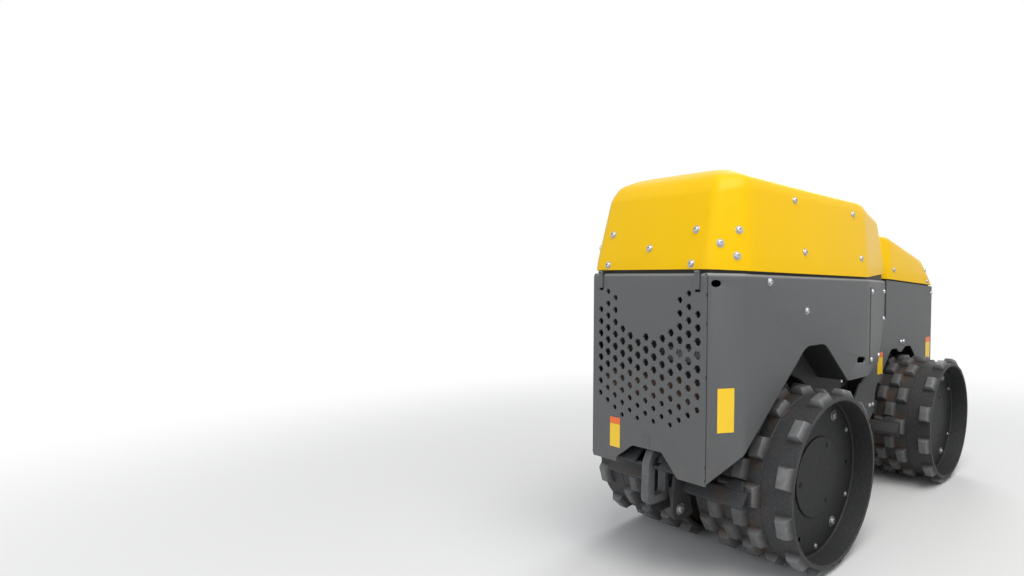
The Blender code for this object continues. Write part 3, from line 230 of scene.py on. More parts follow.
# %% Paints
def hood_paint():
    """Yellow gloss over a moulded hood, a little duller and dustier near its lower edge."""
    look = Finish("hood_yellow", (0.885, 0.535, 0.003), 0.34, coat=0.03, specular=0.12)
    look.speckle(3.0, 3.0, (0.35, 0.75), 0.10, (0.78, 0.43, 0.006))
    look.speckle(70.0, 4.0, (0.60, 0.80), 0.05, (0.55, 0.36, 0.05))
    low = look.between(look.axis("Z"), (0.925, 0.990), (1.0, 0.0))
    look.rougher(look.times(low, look.noise(40.0)), 0.25)
    look.bump(look.noise(420.0, 1.0), 0.10, 0.0006)
    look.bump(look.noise(9.0, 1.0), 0.12, 0.004)
    return look.done()


def body_paint():
    """Grey powder coat with its fine speckle, dust that thickens low down, and a painted highlight on faces
    that look upwards.
    """
    look = Finish("body_grey", (0.092, 0.095, 0.097), 0.46)
    look.speckle(900.0, 1.0, (0.45, 0.75), 0.30, (0.150, 0.154, 0.157))
    look.speckle(5.0, 4.0, (0.40, 0.75), 0.22, (0.085, 0.088, 0.091))
    low = look.between(look.axis("Z"), (0.34, 0.52), (1.0, 0.0))
    look.mix(look.times(low, look.grain(26.0, 5.0, (0.42, 0.80)), 0.30), (0.16, 0.135, 0.11))
    # Painted highlight: the more a face looks upwards, the lighter its grey.
    look.mix(look.between(look.axis("Z", "Normal"), (0.15, 0.75), (0.0, 0.75)), (0.30, 0.305, 0.31))
    look.rougher(look.noise(60.0, 3.0), 0.14)
    look.bump(look.noise(1100.0, 1.0), 0.16, 0.0005)
    return look.done()


def frame_paint(name, colour):
    """Dark paint on the chassis, with brown earth and rust in patches."""
    look = Finish(name, colour, 0.50)
    look.speckle(60.0, 3.0, (0.40, 0.75), 0.40, [c * 1.65 for c in colour])
    low = look.between(look.axis("Z"), (0.12, 0.50), (1.0, 0.15))
    look.mix(look.times(look.grain(11.0, 5.0, (0.52, 0.68)), low, 0.55), (0.085, 0.048, 0.028))
    look.rougher(look.noise(50.0, 3.0), 0.25)
    look.bump(look.noise(240.0, 3.0), 0.25, 0.0008)
    return look.done()


HOOD_PAINT = hood_paint()
BODY_PAINT = body_paint()
FRAME_PAINT = frame_paint("frame_grey", (0.021, 0.022, 0.024))
LOOP_PAINT = frame_paint("worn_grey", (0.092, 0.095, 0.098))
print("paints", [paint.name for paint in (HOOD_PAINT, BODY_PAINT, FRAME_PAINT, LOOP_PAINT)])


# %% Drum steel
def drum_steel(name, axle_x, axle_z):
    """Worn steel: lug tops rubbed bright, brown earth left between the inner lugs."""
    look = Finish(name, (0.033, 0.034, 0.036), 0.50, metallic=0.30)
    dx = calc(look.tree, "SUBTRACT", look.axis("X"), axle_x)
    dz = calc(look.tree, "SUBTRACT", look.axis("Z"), axle_z)
    reach = calc(look.tree, "SQRT", calc(look.tree, "ADD", look.times(dx, dx), look.times(dz, dz)))
    out = calc(look.tree, "ABSOLUTE", look.axis("Y"))
    look.speckle(120.0, 4.0, (0.40, 0.72), 0.50, (0.066, 0.068, 0.070))
    look.speckle(14.0, 4.0, (0.45, 0.75), 0.50, (0.034, 0.035, 0.037))
    earth = look.times(look.grain(17.0, 5.0, (0.46, 0.62)), look.between(out, (0.26, 0.33), (1.0, 0.10)),
                       look.between(reach, (0.272, 0.283), (1.0, 0.35)), 0.60)
    look.mix(earth, (0.085, 0.052, 0.032))
    worn = look.times(look.between(reach, (0.2600, 0.2825)), look.grain(45.0, 3.0, (0.30, 0.70), (0.68, 1.0)),
                      look.between(out, (0.20, 0.36), (0.45, 1.0)))
    look.mix(look.times(worn, 0.85), (0.205, 0.208, 0.212))
    within = look.times(look.between(reach, (0.246, 0.250), (1.0, 0.0)), look.between(out, (0.322, 0.324)))
    look.mix(look.times(within, 0.80), (0.014, 0.015, 0.016))
    look.rougher(look.noise(80.0, 4.0), 0.22)
    look.rougher(worn, -0.12)
    look.bump(look.noise(170.0, 4.0), 0.30, 0.0009)
    return look.done()


AXLE_CENTRE = {}
for half in ("engine", "tank"):
    low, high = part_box(half + "_axle")
    AXLE_CENTRE[half] = ((low.x + high.x) / 2, (low.z + high.z) / 2)
DRUM_STEEL = {half: drum_steel("drum_steel_" + half, *AXLE_CENTRE[half]) for half in AXLE_CENTRE}
print("axles at", {half: (round(x, 4), round(z, 4)) for half, (x, z) in AXLE_CENTRE.items()})


# %% Bolts, plastics, colour plates and the cooler
def zinc():
    look = Finish("zinc_steel", (0.50, 0.51, 0.525), 0.22, metallic=1.0)
    look.speckle(240.0, 3.0, (0.50, 0.80), 0.30, (0.34, 0.34, 0.33))
    look.rougher(look.noise(160.0, 3.0), 0.18)
    return look.done()


def dull_bolt():
    look = Finish("dull_bolt", (0.30, 0.30, 0.30), 0.38, metallic=0.85)
    look.speckle(190.0, 4.0, (0.48, 0.72), 0.6, (0.12, 0.105, 0.09))
    look.rougher(look.noise(200.0, 3.0), 0.25)
    return look.done()


def moulded_black(name, colour, roughness):
    look = Finish(name, colour, roughness)
    look.speckle(300.0, 2.0, (0.45, 0.8), 0.3, [c * 2.2 for c in colour])
    look.bump(look.noise(600.0, 1.0), 0.20, 0.0004)
    return look.done()


def marker_finish(name, colour):
    look = Finish(name, colour, 0.34)
    look.speckle(120.0, 3.0, (0.55, 0.8), 0.10, [c * 0.6 for c in colour])
    return look.done()


def cooler():
    """Brown fins low in the core, a grey pipe above them at one side, the rest dark."""
    look = Finish("cooler_fins", (0.012, 0.012, 0.013), 0.55)
    up = look.axis("Z")
    band = look.times(look.between(up, (0.600, 0.630), (1.0, 0.0)), look.between(up, (0.515, 0.565)))
    look.mix(look.times(band, look.grain(12.0, 3.0, (0.30, 0.62), (0.45, 1.0))), (0.50, 0.28, 0.20))
    pipe = look.times(look.between(up, (0.665, 0.672)), look.between(up, (0.702, 0.710), (1.0, 0.0)),
                      look.between(look.axis("Y"), (0.02, 0.10)))
    look.mix(pipe, (0.38, 0.38, 0.38))
    waves = node(look.tree, "ShaderNodeTexWave", {"bands_direction": "Z"}, Vector=look.place, Scale=90.0)
    fins = waves.outputs[1]
    look.mix(look.times(fins, 0.35), (0.02, 0.014, 0.012))
    look.bump(fins, 0.5, 0.002)
    return look.done()


ZINC = zinc()
DULL_BOLT = dull_bolt()
BLACK = moulded_black("black_plastic", (0.012, 0.012, 0.013), 0.42)
RUBBER = moulded_black("rubber_seal", (0.008, 0.008, 0.008), 0.62)
# Painted shade: a near-black finish for the thin discs that stand for holes.
SHADE = moulded_black("painted_hole_shade", (0.0025, 0.0025, 0.0025), 0.9)
MARKER_YELLOW = marker_finish("marker_yellow", (0.93, 0.60, 0.02))
MARKER_ORANGE = marker_finish("marker_orange", (0.90, 0.16, 0.02))
MARKER_GREY = marker_finish("marker_grey", (0.085, 0.087, 0.090))
COOLER = cooler()
print("finishes so far:", len(bpy.data.materials))

# %% [markdown]
# ## Finishing a piece
# Every piece built below ends the same way: it gets its finish, moves with one body of the model, and may
# stand for a CAD node. Smooth shading with a sharp limit keeps folds crisp and rounds soft.

# %% Finishing a piece
MERGE = 1e-6


def settle(piece, material, body, stands_for=(), sharp=35.0):
    mesh = piece.data
    mesh.materials.clear()
    mesh.materials.append(material)
    mesh.shade_smooth()
    mesh.set_sharp_from_angle(angle=radians(sharp))
    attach(piece, body)
    if stands_for:
        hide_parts(*stands_for)
    return piece


def as_object(name, bm):
    mesh = bpy.data.meshes.new(name)
    bm.to_mesh(mesh)
    bm.free()
    return linked(name, mesh)


def from_bmesh(name, bm):
    """A linked object from a bmesh, with its doubles merged and its faces turned outwards."""
    bmesh.ops.remove_doubles(bm, verts=bm.verts, dist=MERGE)
    bmesh.ops.recalc_face_normals(bm, faces=bm.faces)
    return as_object(name, bm)


def soften(piece, width, segments=2, angle=35.0):
    """A small rounded edge, as bent and ground steel has."""
    bevel = piece.modifiers.new("soft_edge", "BEVEL")
    bevel.width = width
    bevel.segments = segments
    bevel.limit_method = "ANGLE"
    bevel.angle_limit = radians(angle)
    return piece


def thicken(piece, thick):
    """Wall thickness, grown inwards from the surface as drawn."""
    wall = piece.modifiers.new("wall", "SOLIDIFY")
    wall.thickness = thick
    wall.offset = -1.0
    wall.use_even_offset = True
    return piece


print("pieces in the packed model:", len(cad))

# %% [markdown]
# ## Flat pieces from outlines
# Plates are drawn as a closed outline, with further outlines for their holes. Blender's own curve
# fill turns that into faces, which saves a Boolean for each hole. The outline lies in X and Z for
# plates that stand along the machine, and in X and Y for those that lie flat.

# %% Outlines
SLOT_STEPS = 8
MOST_REACH = 0.48


def arc(centre, radius, start, end, steps):
    """Points on a circle, from one angle to another in degrees."""
    turns = (radians(start + (end - start) * i / steps) for i in range(steps + 1))
    return [(centre[0] + radius * cos(t), centre[1] + radius * sin(t)) for t in turns]


def slot_of(centre, half_length, radius, turn):
    """A long hole with round ends, turned by an angle in degrees."""
    t = radians(turn)
    ends = [(centre[0] + s * half_length * cos(t), centre[1] + s * half_length * sin(t)) for s in (1, -1)]
    far, near = [arc(end, radius, turn + at, turn + at + 180.0, SLOT_STEPS)
                 for end, at in zip(ends, (-90.0, 90.0))]
    return far + near


def rectangle(left, right, low, high):
    return [(left, low), (right, low), (right, high), (left, high)]


def parabola(start, corner, end, steps):
    """Points that leave one side of a corner at start and join its other side at end."""
    shares = [k / steps for k in range(steps + 1)]
    return [start * (1.0 - t) ** 2 + corner * 2.0 * t * (1.0 - t) + end * t * t for t in shares]


def eased(outline, reaches, steps=4):
    """The same outline with its corners rounded, all by one reach or each by its own."""
    if not isinstance(reaches, list):
        reaches = [reaches] * len(outline)
    points = [Vector(p) for p in outline]
    made = []
    for i, (here, reach) in enumerate(zip(points, reaches)):
        if not reach:
            made.append(here)
            continue
        start, end = [here.lerp(p, min(MOST_REACH, reach / (p - here).length))
                      for p in (points[i - 1], points[(i + 1) % len(points)])]
        made += parabola(start, here, end, steps)
    return [tuple(p) for p in made]


print("a slot's outline has", len(slot_of((0.0, 0.0), 0.02, 0.01, 0.0)), "points")

# %% Flat pieces from outlines
AXES = {"Y": lambda a, b, c: (a, c, b), "Z": lambda a, b, c: (a, b, c)}


def curve_object(name, lines, closed=True, **settings):
    """A curve through lines of points, flat or in space."""
    curve = bpy.data.curves.new(name, "CURVE")
    for setting, value in settings.items():
        setattr(curve, setting, value)
    for line in lines:
        spline = curve.splines.new("POLY")
        spline.points.add(len(line) - 1)
        for point, place in zip(spline.points, line):
            point.co = (*Vector(place).to_3d(), 1.0)
        spline.use_cyclic_u = closed
    return linked(name, curve)


def into_bmesh(pieces):
    """All pieces in one bmesh, with curves filled and modifiers applied. The pieces themselves go."""
    bm = bmesh.new()
    view = bpy.context.evaluated_depsgraph_get()
    view.update()
    for piece in pieces:
        mesh = bpy.data.meshes.new_from_object(piece.evaluated_get(view))
        bm.from_mesh(mesh)
        bpy.data.meshes.remove(mesh)
        bpy.data.objects.remove(piece)
    return bm


def joined(name, pieces):
    """One object from several, as welded parts are."""
    return as_object(name, into_bmesh(pieces))


def filled(loops):
    """Flat faces, in X and Y, inside the first outline and outside the others."""
    bm = into_bmesh([curve_object("outline", loops, dimensions="2D", fill_mode="BOTH")])
    bmesh.ops.remove_doubles(bm, verts=bm.verts, dist=MERGE)
    return bm


def plate(name, loops, axis, low, high):
    """A plate from its outlines, as thick as the space between two levels of an axis."""
    bm = filled(loops)
    grown = bmesh.ops.extrude_face_region(bm, geom=bm.faces[:])
    top = {v for v in grown["geom"] if isinstance(v, bmesh.types.BMVert)}
    for v in bm.verts:
        v.co = AXES[axis](v.co.x, v.co.y, high if v in top else low)
    return from_bmesh(name, bm)


print("plates may lie across", sorted(AXES))

# %% [markdown]
# ## Folded side sheets
# The engine half's sides are single sheets, folded where the nose tapers in and where the corner
# turns toward the grille. Press brakes leave a radius at each fold and the top edge is rolled
# over, so both catch light. The outline is filled flat, sliced near each fold, and then bent by
# one rule that gives the width for any distance along the machine.

# %% Width of the body along its length
BODY_W, GRILLE_W, NOSE_W = 0.302, 0.241, 0.203
NOSE_X, TAPER_X, CORNER_X, GRILLE_X = -0.254, 0.105, 0.861, 0.9485
SHEET = 0.006
RIM_Z = 0.918
ROLL_R = 0.012
TAPER_BEND, CORNER_BEND = 0.016, 0.009
PANEL_END_X = GRILLE_X - 0.0002


def bent(x, at, before, after, reach):
    """Straight slope before, straight slope after, and an even curve between them."""
    d = x - at
    if d <= -reach:
        return before * d
    if d >= reach:
        return after * d
    return before * d + (after - before) * (d + reach) ** 2 / (4.0 * reach)


def body_width(x):
    taper = (BODY_W - NOSE_W) / (TAPER_X - NOSE_X)
    corner = (GRILLE_W - BODY_W) / (GRILLE_X - CORNER_X)
    return BODY_W + bent(x, TAPER_X, taper, 0.0, TAPER_BEND) + bent(x, CORNER_X, 0.0, corner, CORNER_BEND)


def roll_turn(z):
    """How far the rolled rim has turned at a drawn height, and the height of its straight part there."""
    start = RIM_Z - ROLL_R
    return min(max(z - start, 0.0) / ROLL_R, 1.0) * pi / 2, min(z, start)


print("half widths", [round(body_width(x), 4) for x in (NOSE_X, TAPER_X, CORNER_X, GRILLE_X)])

# %% Both side sheets
SIDE_OUTLINE = [(NOSE_X, RIM_Z), (NOSE_X, 0.749), (-0.124, 0.576), (0.072, 0.554), (TAPER_X, 0.552),
                (0.261, 0.552), (0.427, 0.697), (0.547, 0.697), (CORNER_X, 0.420), (PANEL_END_X, 0.3488),
                (PANEL_END_X, RIM_Z)]
SIDE_REACHES = [0, 0, 0.010, 0.006, 0, 0.014, 0.026, 0.026, 0.004, 0, 0]
CORNER_SLOT = slot_of((0.9305, 0.8898), 0.0016, 0.0098, 0.0)
SIDE_SLOT = slot_of((0.161, 0.6175), 0.0225, 0.0108, 4.0)
BEND_CUTS = (-1.0, -0.6, -0.2, 0.2, 0.6, 1.0)
ROLL_STEPS = 5
CUT_SNAP = 1e-7
ROLL_CUTS = [RIM_Z - ROLL_R * (1.0 - k / ROLL_STEPS) for k in range(ROLL_STEPS)]
SHEET_EDGE, SHEET_EDGE_ANGLE = 0.0012, 50.0


def slice_at(bm, normal, places):
    for place in places:
        parts = bm.verts[:] + bm.edges[:] + bm.faces[:]
        at = Vector(normal) * place
        bmesh.ops.bisect_plane(bm, geom=parts, plane_co=at, plane_no=normal, dist=CUT_SNAP)


def side_sheet(name, side):
    bm = filled([eased(SIDE_OUTLINE, SIDE_REACHES), CORNER_SLOT, SIDE_SLOT])
    for at, reach in ((TAPER_X, TAPER_BEND), (CORNER_X, CORNER_BEND)):
        slice_at(bm, (1.0, 0.0, 0.0), [at + s * reach for s in BEND_CUTS])
    slice_at(bm, (0.0, 1.0, 0.0), ROLL_CUTS)
    for v in bm.verts:
        x = v.co.x
        turn, level = roll_turn(v.co.y)
        v.co = (x, side * (body_width(x) - ROLL_R * (1.0 - cos(turn))), level + ROLL_R * sin(turn))
    bmesh.ops.recalc_face_normals(bm, faces=bm.faces)
    if sum(f.normal.y * f.calc_area() for f in bm.faces) * side < 0:
        bmesh.ops.reverse_faces(bm, faces=bm.faces)
    return soften(thicken(as_object(name, bm), SHEET), SHEET_EDGE, angle=SHEET_EDGE_ANGLE)


side_sheets = []
for word, side in (("left", 1), ("right", -1)):
    sheet = side_sheet("side_sheet_" + word, side)
    side_sheets.append(settle(sheet, BODY_PAINT, "engine_half", ["engine_side_" + word]))
print("side sheets bent:", len(side_sheets))

# %% [markdown]
# ## Perforated grille
# The grille is one plate with more than a hundred punched hexagons in staggered columns, solid in
# one field near the top. The holes are widest at mid height and shrink towards both ends.
# Geometry Nodes suit it: the holes' centres are points that carry their share of the full width,
# each gets a six-sided curve scaled by that share, and one Fill Curve cuts them all out of the
# plate at once. The filled face is then given its thickness.

# %% Running a node tree
POINT_VALUES = {"FLOAT": "value", "FLOAT_VECTOR": "vector"}


def new_tree(name, inputs):
    """A Geometry Nodes tree with named inputs, and the sockets that bring them in."""
    tree = bpy.data.node_groups.new(name, "GeometryNodeTree")
    for label, kind in [("Geometry", "Geometry")] + inputs:
        tree.interface.new_socket(label, in_out="INPUT", socket_type="NodeSocket" + kind)
    tree.interface.new_socket("Geometry", in_out="OUTPUT", socket_type="NodeSocketGeometry")
    return tree, node(tree, "NodeGroupInput").outputs


def join(tree, first, second):
    both = node(tree, "GeometryNodeJoinGeometry")
    tree.links.new(first, both.inputs[0])
    tree.links.new(second, both.inputs[0])
    return both.outputs[0]


def end_tree(tree, geometry, material):
    """Ends a tree with plain geometry in its material."""
    solid = node(tree, "GeometryNodeRealizeInstances", Geometry=geometry)
    painted = node(tree, "GeometryNodeSetMaterial", Geometry=solid.outputs[0], Material=material)
    node(tree, "NodeGroupOutput", _0=painted.outputs[0])
    return tree


def run_tree(tree, name, mesh, values):
    """Applies a tree to a mesh and keeps the result as a plain mesh."""
    piece = linked(name, mesh)
    rule = piece.modifiers.new("rule", "NODES")
    rule.node_group = tree
    for item in tree.interface.items_tree:
        if item.item_type == "SOCKET" and item.in_out == "INPUT" and item.name in values:
            rule[item.identifier] = values[item.name]
    view = bpy.context.evaluated_depsgraph_get()
    view.update()
    plain = bpy.data.meshes.new_from_object(piece.evaluated_get(view))
    piece.modifiers.clear()
    piece.data = plain
    return piece


def points_mesh(name, places, label, kind, values):
    """Loose points that each carry a value of their own, under a label that a tree can read."""
    mesh = bpy.data.meshes.new(name)
    mesh.from_pydata([tuple(p) for p in places], [], [])
    mesh.attributes.new(label, kind, "POINT").data.foreach_set(POINT_VALUES[kind], values)
    return mesh


print("points can carry", sorted(POINT_VALUES))

# %% The perforation tree
PLATE_MERGE = 1e-5


def perforation_tree():
    tree, given = new_tree("perforated_plate", [("Outline", "Object"), ("Hole Radius", "Float"),
                                                ("Hole Sides", "Int"), ("Thickness", "Float"),
                                                ("Paint", "Material")])
    circle = node(tree, "GeometryNodeCurvePrimitiveCircle", Resolution=given["Hole Sides"],
                  Radius=given["Hole Radius"])
    share = node(tree, "GeometryNodeInputNamedAttribute", {"data_type": "FLOAT"}, Name="share").outputs[0]
    holes = node(tree, "GeometryNodeInstanceOnPoints", Points=given["Geometry"], Instance=circle.outputs[0],
                 Scale=share)
    edge = node(tree, "GeometryNodeObjectInfo", Object=given["Outline"])
    outlines = join(tree, holes.outputs[0], edge.outputs["Geometry"])
    loose = node(tree, "GeometryNodeRealizeInstances", Geometry=outlines)
    face = node(tree, "GeometryNodeFillCurve", Curve=loose.outputs[0])
    raised = node(tree, "GeometryNodeExtrudeMesh", Mesh=face.outputs[0], Offset_Scale=given["Thickness"],
                  Individual=False)
    back = node(tree, "GeometryNodeFlipFaces", Mesh=face.outputs[0])
    shell = join(tree, raised.outputs[0], back.outputs[0])
    closed = node(tree, "GeometryNodeMergeByDistance", Geometry=shell, Distance=PLATE_MERGE)
    return end_tree(tree, closed.outputs[0], given["Paint"])


PERFORATION = perforation_tree()
print("nodes in the perforation tree:", len(PERFORATION.nodes))

# %% Where the holes go
HOLE_R, HOLE_SIDES = 0.0137, 6
WIDEST_Z, SHRINK = 0.690, 1.75
PITCH_Y, PITCH_Z = 0.0341, 0.0373
HOLE_COLUMNS = 13
FIRST_HOLE_Z = 0.4885
EDGE_TOPS, INNER_TOP = (0.815, 0.870), 0.850
BLANK_Z, BLANK_HALF = (0.748, 0.904), (0.076, 0.154)
BLANK_EDGE = 0.009


def in_blank_field(y, z):
    """True in the four-sided field that stays solid."""
    if not BLANK_Z[0] - BLANK_EDGE < z < BLANK_Z[1] + BLANK_EDGE:
        return False
    slope = (BLANK_HALF[1] - BLANK_HALF[0]) / (BLANK_Z[1] - BLANK_Z[0])
    return abs(y) < BLANK_HALF[0] + slope * (z - BLANK_Z[0]) + BLANK_EDGE * sqrt(1.0 + slope * slope)


def hole_centres():
    """Staggered columns: every second one starts half a pitch higher, the outer two a pitch more."""
    centres = []
    for column in range(HOLE_COLUMNS):
        y = (column - (HOLE_COLUMNS - 1) / 2) * PITCH_Y
        from_edge = min(column, HOLE_COLUMNS - 1 - column)
        near_edge = from_edge < len(EDGE_TOPS)
        top = EDGE_TOPS[from_edge] if near_edge else INNER_TOP
        z = FIRST_HOLE_Z + (0.0 if column % 2 else PITCH_Z / 2) + (PITCH_Z if near_edge else 0.0)
        while z < top:
            if not in_blank_field(y, z):
                centres.append((y, z))
            z += PITCH_Z
    return centres


print("holes in the grille:", len(hole_centres()))

# %% The grille plate
SKIRT_Z = 0.342
GRILLE_IN = 0.0032
OPENING_HALF = 0.128
# Its corners: centre (Y, height over the skirt), radius, first and last angle, steps.
OPENING_ARCS = [((-0.116, 0.010), 0.010, 180.0, 130.0, 3), ((-0.052, 0.051), 0.011, 135.0, 90.0, 4),
                ((0.064, 0.050), 0.013, 90.0, 40.0, 4)]
OPENING_END = [(OPENING_HALF, 0.006), (0.134, 0.0)]
NOTCH_Z, NOTCH_H, NOTCH_D = (0.357, 0.394, 0.637, 0.780, 0.859), 0.0045, 0.0026
STRAP_Y, STRAP_GAP, STRAP_LOW = 0.203, 0.0095, 0.866


def grille_outline():
    """The plate's edge: an opening below, notches at the sides, a recess for each hinge strap."""
    side = GRILLE_W - GRILLE_IN
    below = [(-side, SKIRT_Z), (-OPENING_HALF, SKIRT_Z)]
    for (y, up), *curve in OPENING_ARCS:
        below += arc((y, SKIRT_Z + up), *curve)
    below += [(y, SKIRT_Z + up) for y, up in OPENING_END]
    upper = []
    for z in NOTCH_Z:
        upper += [(side, z - NOTCH_H), (side - NOTCH_D, z - NOTCH_H)]
        upper += [(side - NOTCH_D, z + NOTCH_H), (side, z + NOTCH_H)]
    near, far = STRAP_Y - STRAP_GAP, STRAP_Y + STRAP_GAP
    upper += [(side, RIM_Z), (far, RIM_Z), (far, STRAP_LOW), (near, STRAP_LOW), (near, RIM_Z)]
    return below + [(side, SKIRT_Z)] + upper + [(-y, z) for y, z in reversed(upper)]


def grille_plate():
    edge = curve_object("grille_outline", [grille_outline()], dimensions="2D", fill_mode="NONE")
    centres = hole_centres()
    shares = [1.0 - SHRINK * abs(z - WIDEST_Z) for y, z in centres]
    mesh = points_mesh("hole_centres", [(y, z, 0.0) for y, z in centres], "share", "FLOAT", shares)
    values = {"Outline": edge, "Hole Radius": HOLE_R, "Hole Sides": HOLE_SIDES, "Thickness": SHEET,
              "Paint": BODY_PAINT}
    piece = run_tree(PERFORATION, "grille_plate", mesh, values)
    bpy.data.objects.remove(edge)
    bm = bmesh.new()
    bm.from_mesh(piece.data)
    slice_at(bm, (0.0, 1.0, 0.0), ROLL_CUTS)
    for v in bm.verts:
        y, reach = v.co.x, ROLL_R - abs(v.co.z)
        turn, level = roll_turn(v.co.y)
        v.co = (GRILLE_X - ROLL_R + reach * cos(turn), y, level + reach * sin(turn))
    bmesh.ops.recalc_face_normals(bm, faces=bm.faces)
    bm.to_mesh(piece.data)
    bm.free()
    return piece


grille = settle(grille_plate(), BODY_PAINT, "engine_half", ["engine_grille"], sharp=40.0)
print("faces in the grille:", len(grille.data.polygons))

# %% [markdown]
# ## Moulded hoods
# Both hoods are moulded shells with soft edges between nearly flat fields. Their control net is a
# few columns of points round the hood. Rounding every corner of that net by a share of its sides,
# first round the hood and then up it, gives the same soft shape in both directions.

# %% Rounding a control net
NET_STEPS = 5
NET_MERGE, NET_SLIVER = 2e-5, 1e-5
HOOD_WALL = 0.004
HOOD_SHARP = 32.0


def rounded(points, shares, closed):
    """Swaps each inner corner of a line of points for a short parabola between its two sides."""
    count = len(points)
    made = [] if closed else [points[0].copy()]
    for i in range(0 if closed else 1, count if closed else count - 1):
        before, here, after = points[i - 1], points[i], points[(i + 1) % count]
        made += parabola(here.lerp(before, shares[i][0]), here, here.lerp(after, shares[i][1]), NET_STEPS)
    if not closed:
        made.append(points[-1].copy())
    return made


def hood_surface(name, columns, crown, round_shares, up_shares):
    """A hood from half its columns; crown gives each column's point on the middle line."""
    half = [[Vector(p) for p in column] + [Vector(c)] for column, c in zip(columns, crown)]
    other = [[Vector((p.x, -p.y, p.z)) for p in column] for column in reversed(half)]
    ring = half + other
    shares = round_shares + [(b, a) for a, b in reversed(round_shares)]
    levels = [rounded([column[k] for column in ring], shares, True) for k in range(len(ring[0]))]
    lines = [rounded(line, up_shares, False) for line in zip(*levels)]
    bm = bmesh.new()
    grid = [[bm.verts.new(p) for p in line] for line in lines]
    for a, b in zip(grid, grid[1:] + grid[:1]):
        for k in range(len(a) - 1):
            bm.faces.new((a[k], b[k], b[k + 1], a[k + 1]))
    bmesh.ops.remove_doubles(bm, verts=bm.verts, dist=NET_MERGE)
    bmesh.ops.dissolve_degenerate(bm, dist=NET_SLIVER, edges=bm.edges)
    bmesh.ops.recalc_face_normals(bm, faces=bm.faces)
    if max(bm.faces, key=lambda f: f.calc_center_median().z).normal.z < 0:
        bmesh.ops.reverse_faces(bm, faces=bm.faces)
    return thicken(as_object(name, bm), HOOD_WALL)


def show_top(piece):
    print(piece.name, "reaches", round(max(v.co.z for v in piece.data.vertices), 4), "m")


print("points on each rounded corner:", NET_STEPS + 1)

# %% The engine half's hood
HOOD_LOW_Z = 0.926
HOOD_SIDE = BODY_W - 0.002
engine_columns = [
    [(-0.249, 0.178, 0.948), (-0.249, 0.177, 0.997), (-0.226, 0.157, 1.158), (-0.218, 0.152, 1.171),
     (-0.209, 0.139, 1.179), (-0.203, 0.108, 1.183)],
    [(-0.229, 0.208, 0.948), (-0.229, 0.206, 0.989), (-0.210, 0.182, 1.163), (-0.208, 0.175, 1.174),
     (-0.205, 0.157, 1.181), (-0.201, 0.112, 1.184)],
    [(0.081, HOOD_SIDE - 0.009, 0.928), (0.074, HOOD_SIDE - 0.014, 0.960), (0.008, 0.246, 1.172),
     (0.016, 0.232, 1.195), (0.030, 0.188, 1.216), (0.060, 0.130, 1.232)],
    [(0.105, HOOD_SIDE, HOOD_LOW_Z), (0.104, HOOD_SIDE - 0.003, 0.960), (0.087, 0.267, 1.177),
     (0.090, 0.255, 1.207), (0.098, 0.200, 1.2325), (0.120, 0.134, 1.2385)],
    [(0.848, HOOD_SIDE, HOOD_LOW_Z), (0.845, HOOD_SIDE - 0.003, 0.960), (0.816, 0.267, 1.172),
     (0.808, 0.2535, 1.198), (0.797, 0.197, 1.2215), (0.777, 0.126, 1.2335)],
    [(0.947, GRILLE_W - 0.002, 0.928), (0.944, 0.239, 0.955), (0.901, 0.226, 1.150),
     (0.878, 0.2105, 1.1935), (0.841, 0.165, 1.2150), (0.801, 0.113, 1.2280)],
]
engine_crown = [(-0.150, 0.0, 1.188), (-0.140, 0.0, 1.190), (0.070, 0.0, 1.2300), (0.125, 0.0, 1.2355),
                (0.745, 0.0, 1.2320), (0.745, 0.0, 1.2320)]
engine_round = [(0.04, 0.30), (0.30, 0.05), (0.12, 0.40), (0.40, 0.05), (0.03, 0.22), (0.22, 0.06)]
hood_up = [(0, 0), (0.50, 0.06), (0.06, 0.42), (0.40, 0.35), (0.35, 0.38), (0.38, 0.18), (0, 0)]
hood = hood_surface("engine_hood_shell", engine_columns, engine_crown, engine_round, hood_up)
print("faces in the hood before its slot:", len(hood.data.polygons))

# %% The slot for the lifting loop
LOOP_X = (-0.037, 0.048)
LOOP_BAR_R = 0.012
SLOT_BACK, SLOT_ROOM = 0.042, 0.018
SLOT_LOW_Z, SLOT_HIGH_Z = 1.12, 1.30
slot_outline = rectangle(LOOP_X[0] - SLOT_BACK, LOOP_X[1] + SLOT_ROOM, -SLOT_ROOM, SLOT_ROOM)
slot_block = plate("loop_slot", [slot_outline], "Z", SLOT_LOW_Z, SLOT_HIGH_Z)
opening = hood.modifiers.new("loop_slot", "BOOLEAN")
opening.operation = "DIFFERENCE"
opening.solver = "EXACT"
opening.object = slot_block
whole_hood = joined("engine_hood_shell", [hood])
bpy.data.objects.remove(slot_block)
settle(whole_hood, HOOD_PAINT, "engine_hood", ["engine_hood"], sharp=HOOD_SHARP)
show_top(whole_hood)

# %% The tank half's hood
TANK_W = 0.178
TANK_SIDE = TANK_W - 0.001
tank_columns = [
    [(-0.921, 0.156, 0.907), (-0.912, 0.151, 0.936), (-0.890, 0.134, 1.000), (-0.871, 0.118, 1.033),
     (-0.842, 0.090, 1.051)],
    [(-0.902, TANK_SIDE, 0.908), (-0.882, TANK_SIDE - 0.006, 0.940), (-0.840, 0.154, 1.000),
     (-0.834, 0.138, 1.037), (-0.830, 0.096, 1.053)],
    [(-0.369, TANK_SIDE, 0.928), (-0.377, TANK_SIDE - 0.006, 0.986), (-0.432, 0.150, 1.095),
     (-0.436, 0.136, 1.119), (-0.430, 0.096, 1.143)],
    [(-0.339, 0.150, 0.929), (-0.339, 0.148, 0.991), (-0.363, 0.128, 1.108), (-0.372, 0.116, 1.124),
     (-0.390, 0.088, 1.134)],
]
tank_crown = [(-0.780, 0.0, 1.067), (-0.775, 0.0, 1.068), (-0.440, 0.0, 1.1425), (-0.435, 0.0, 1.1425)]
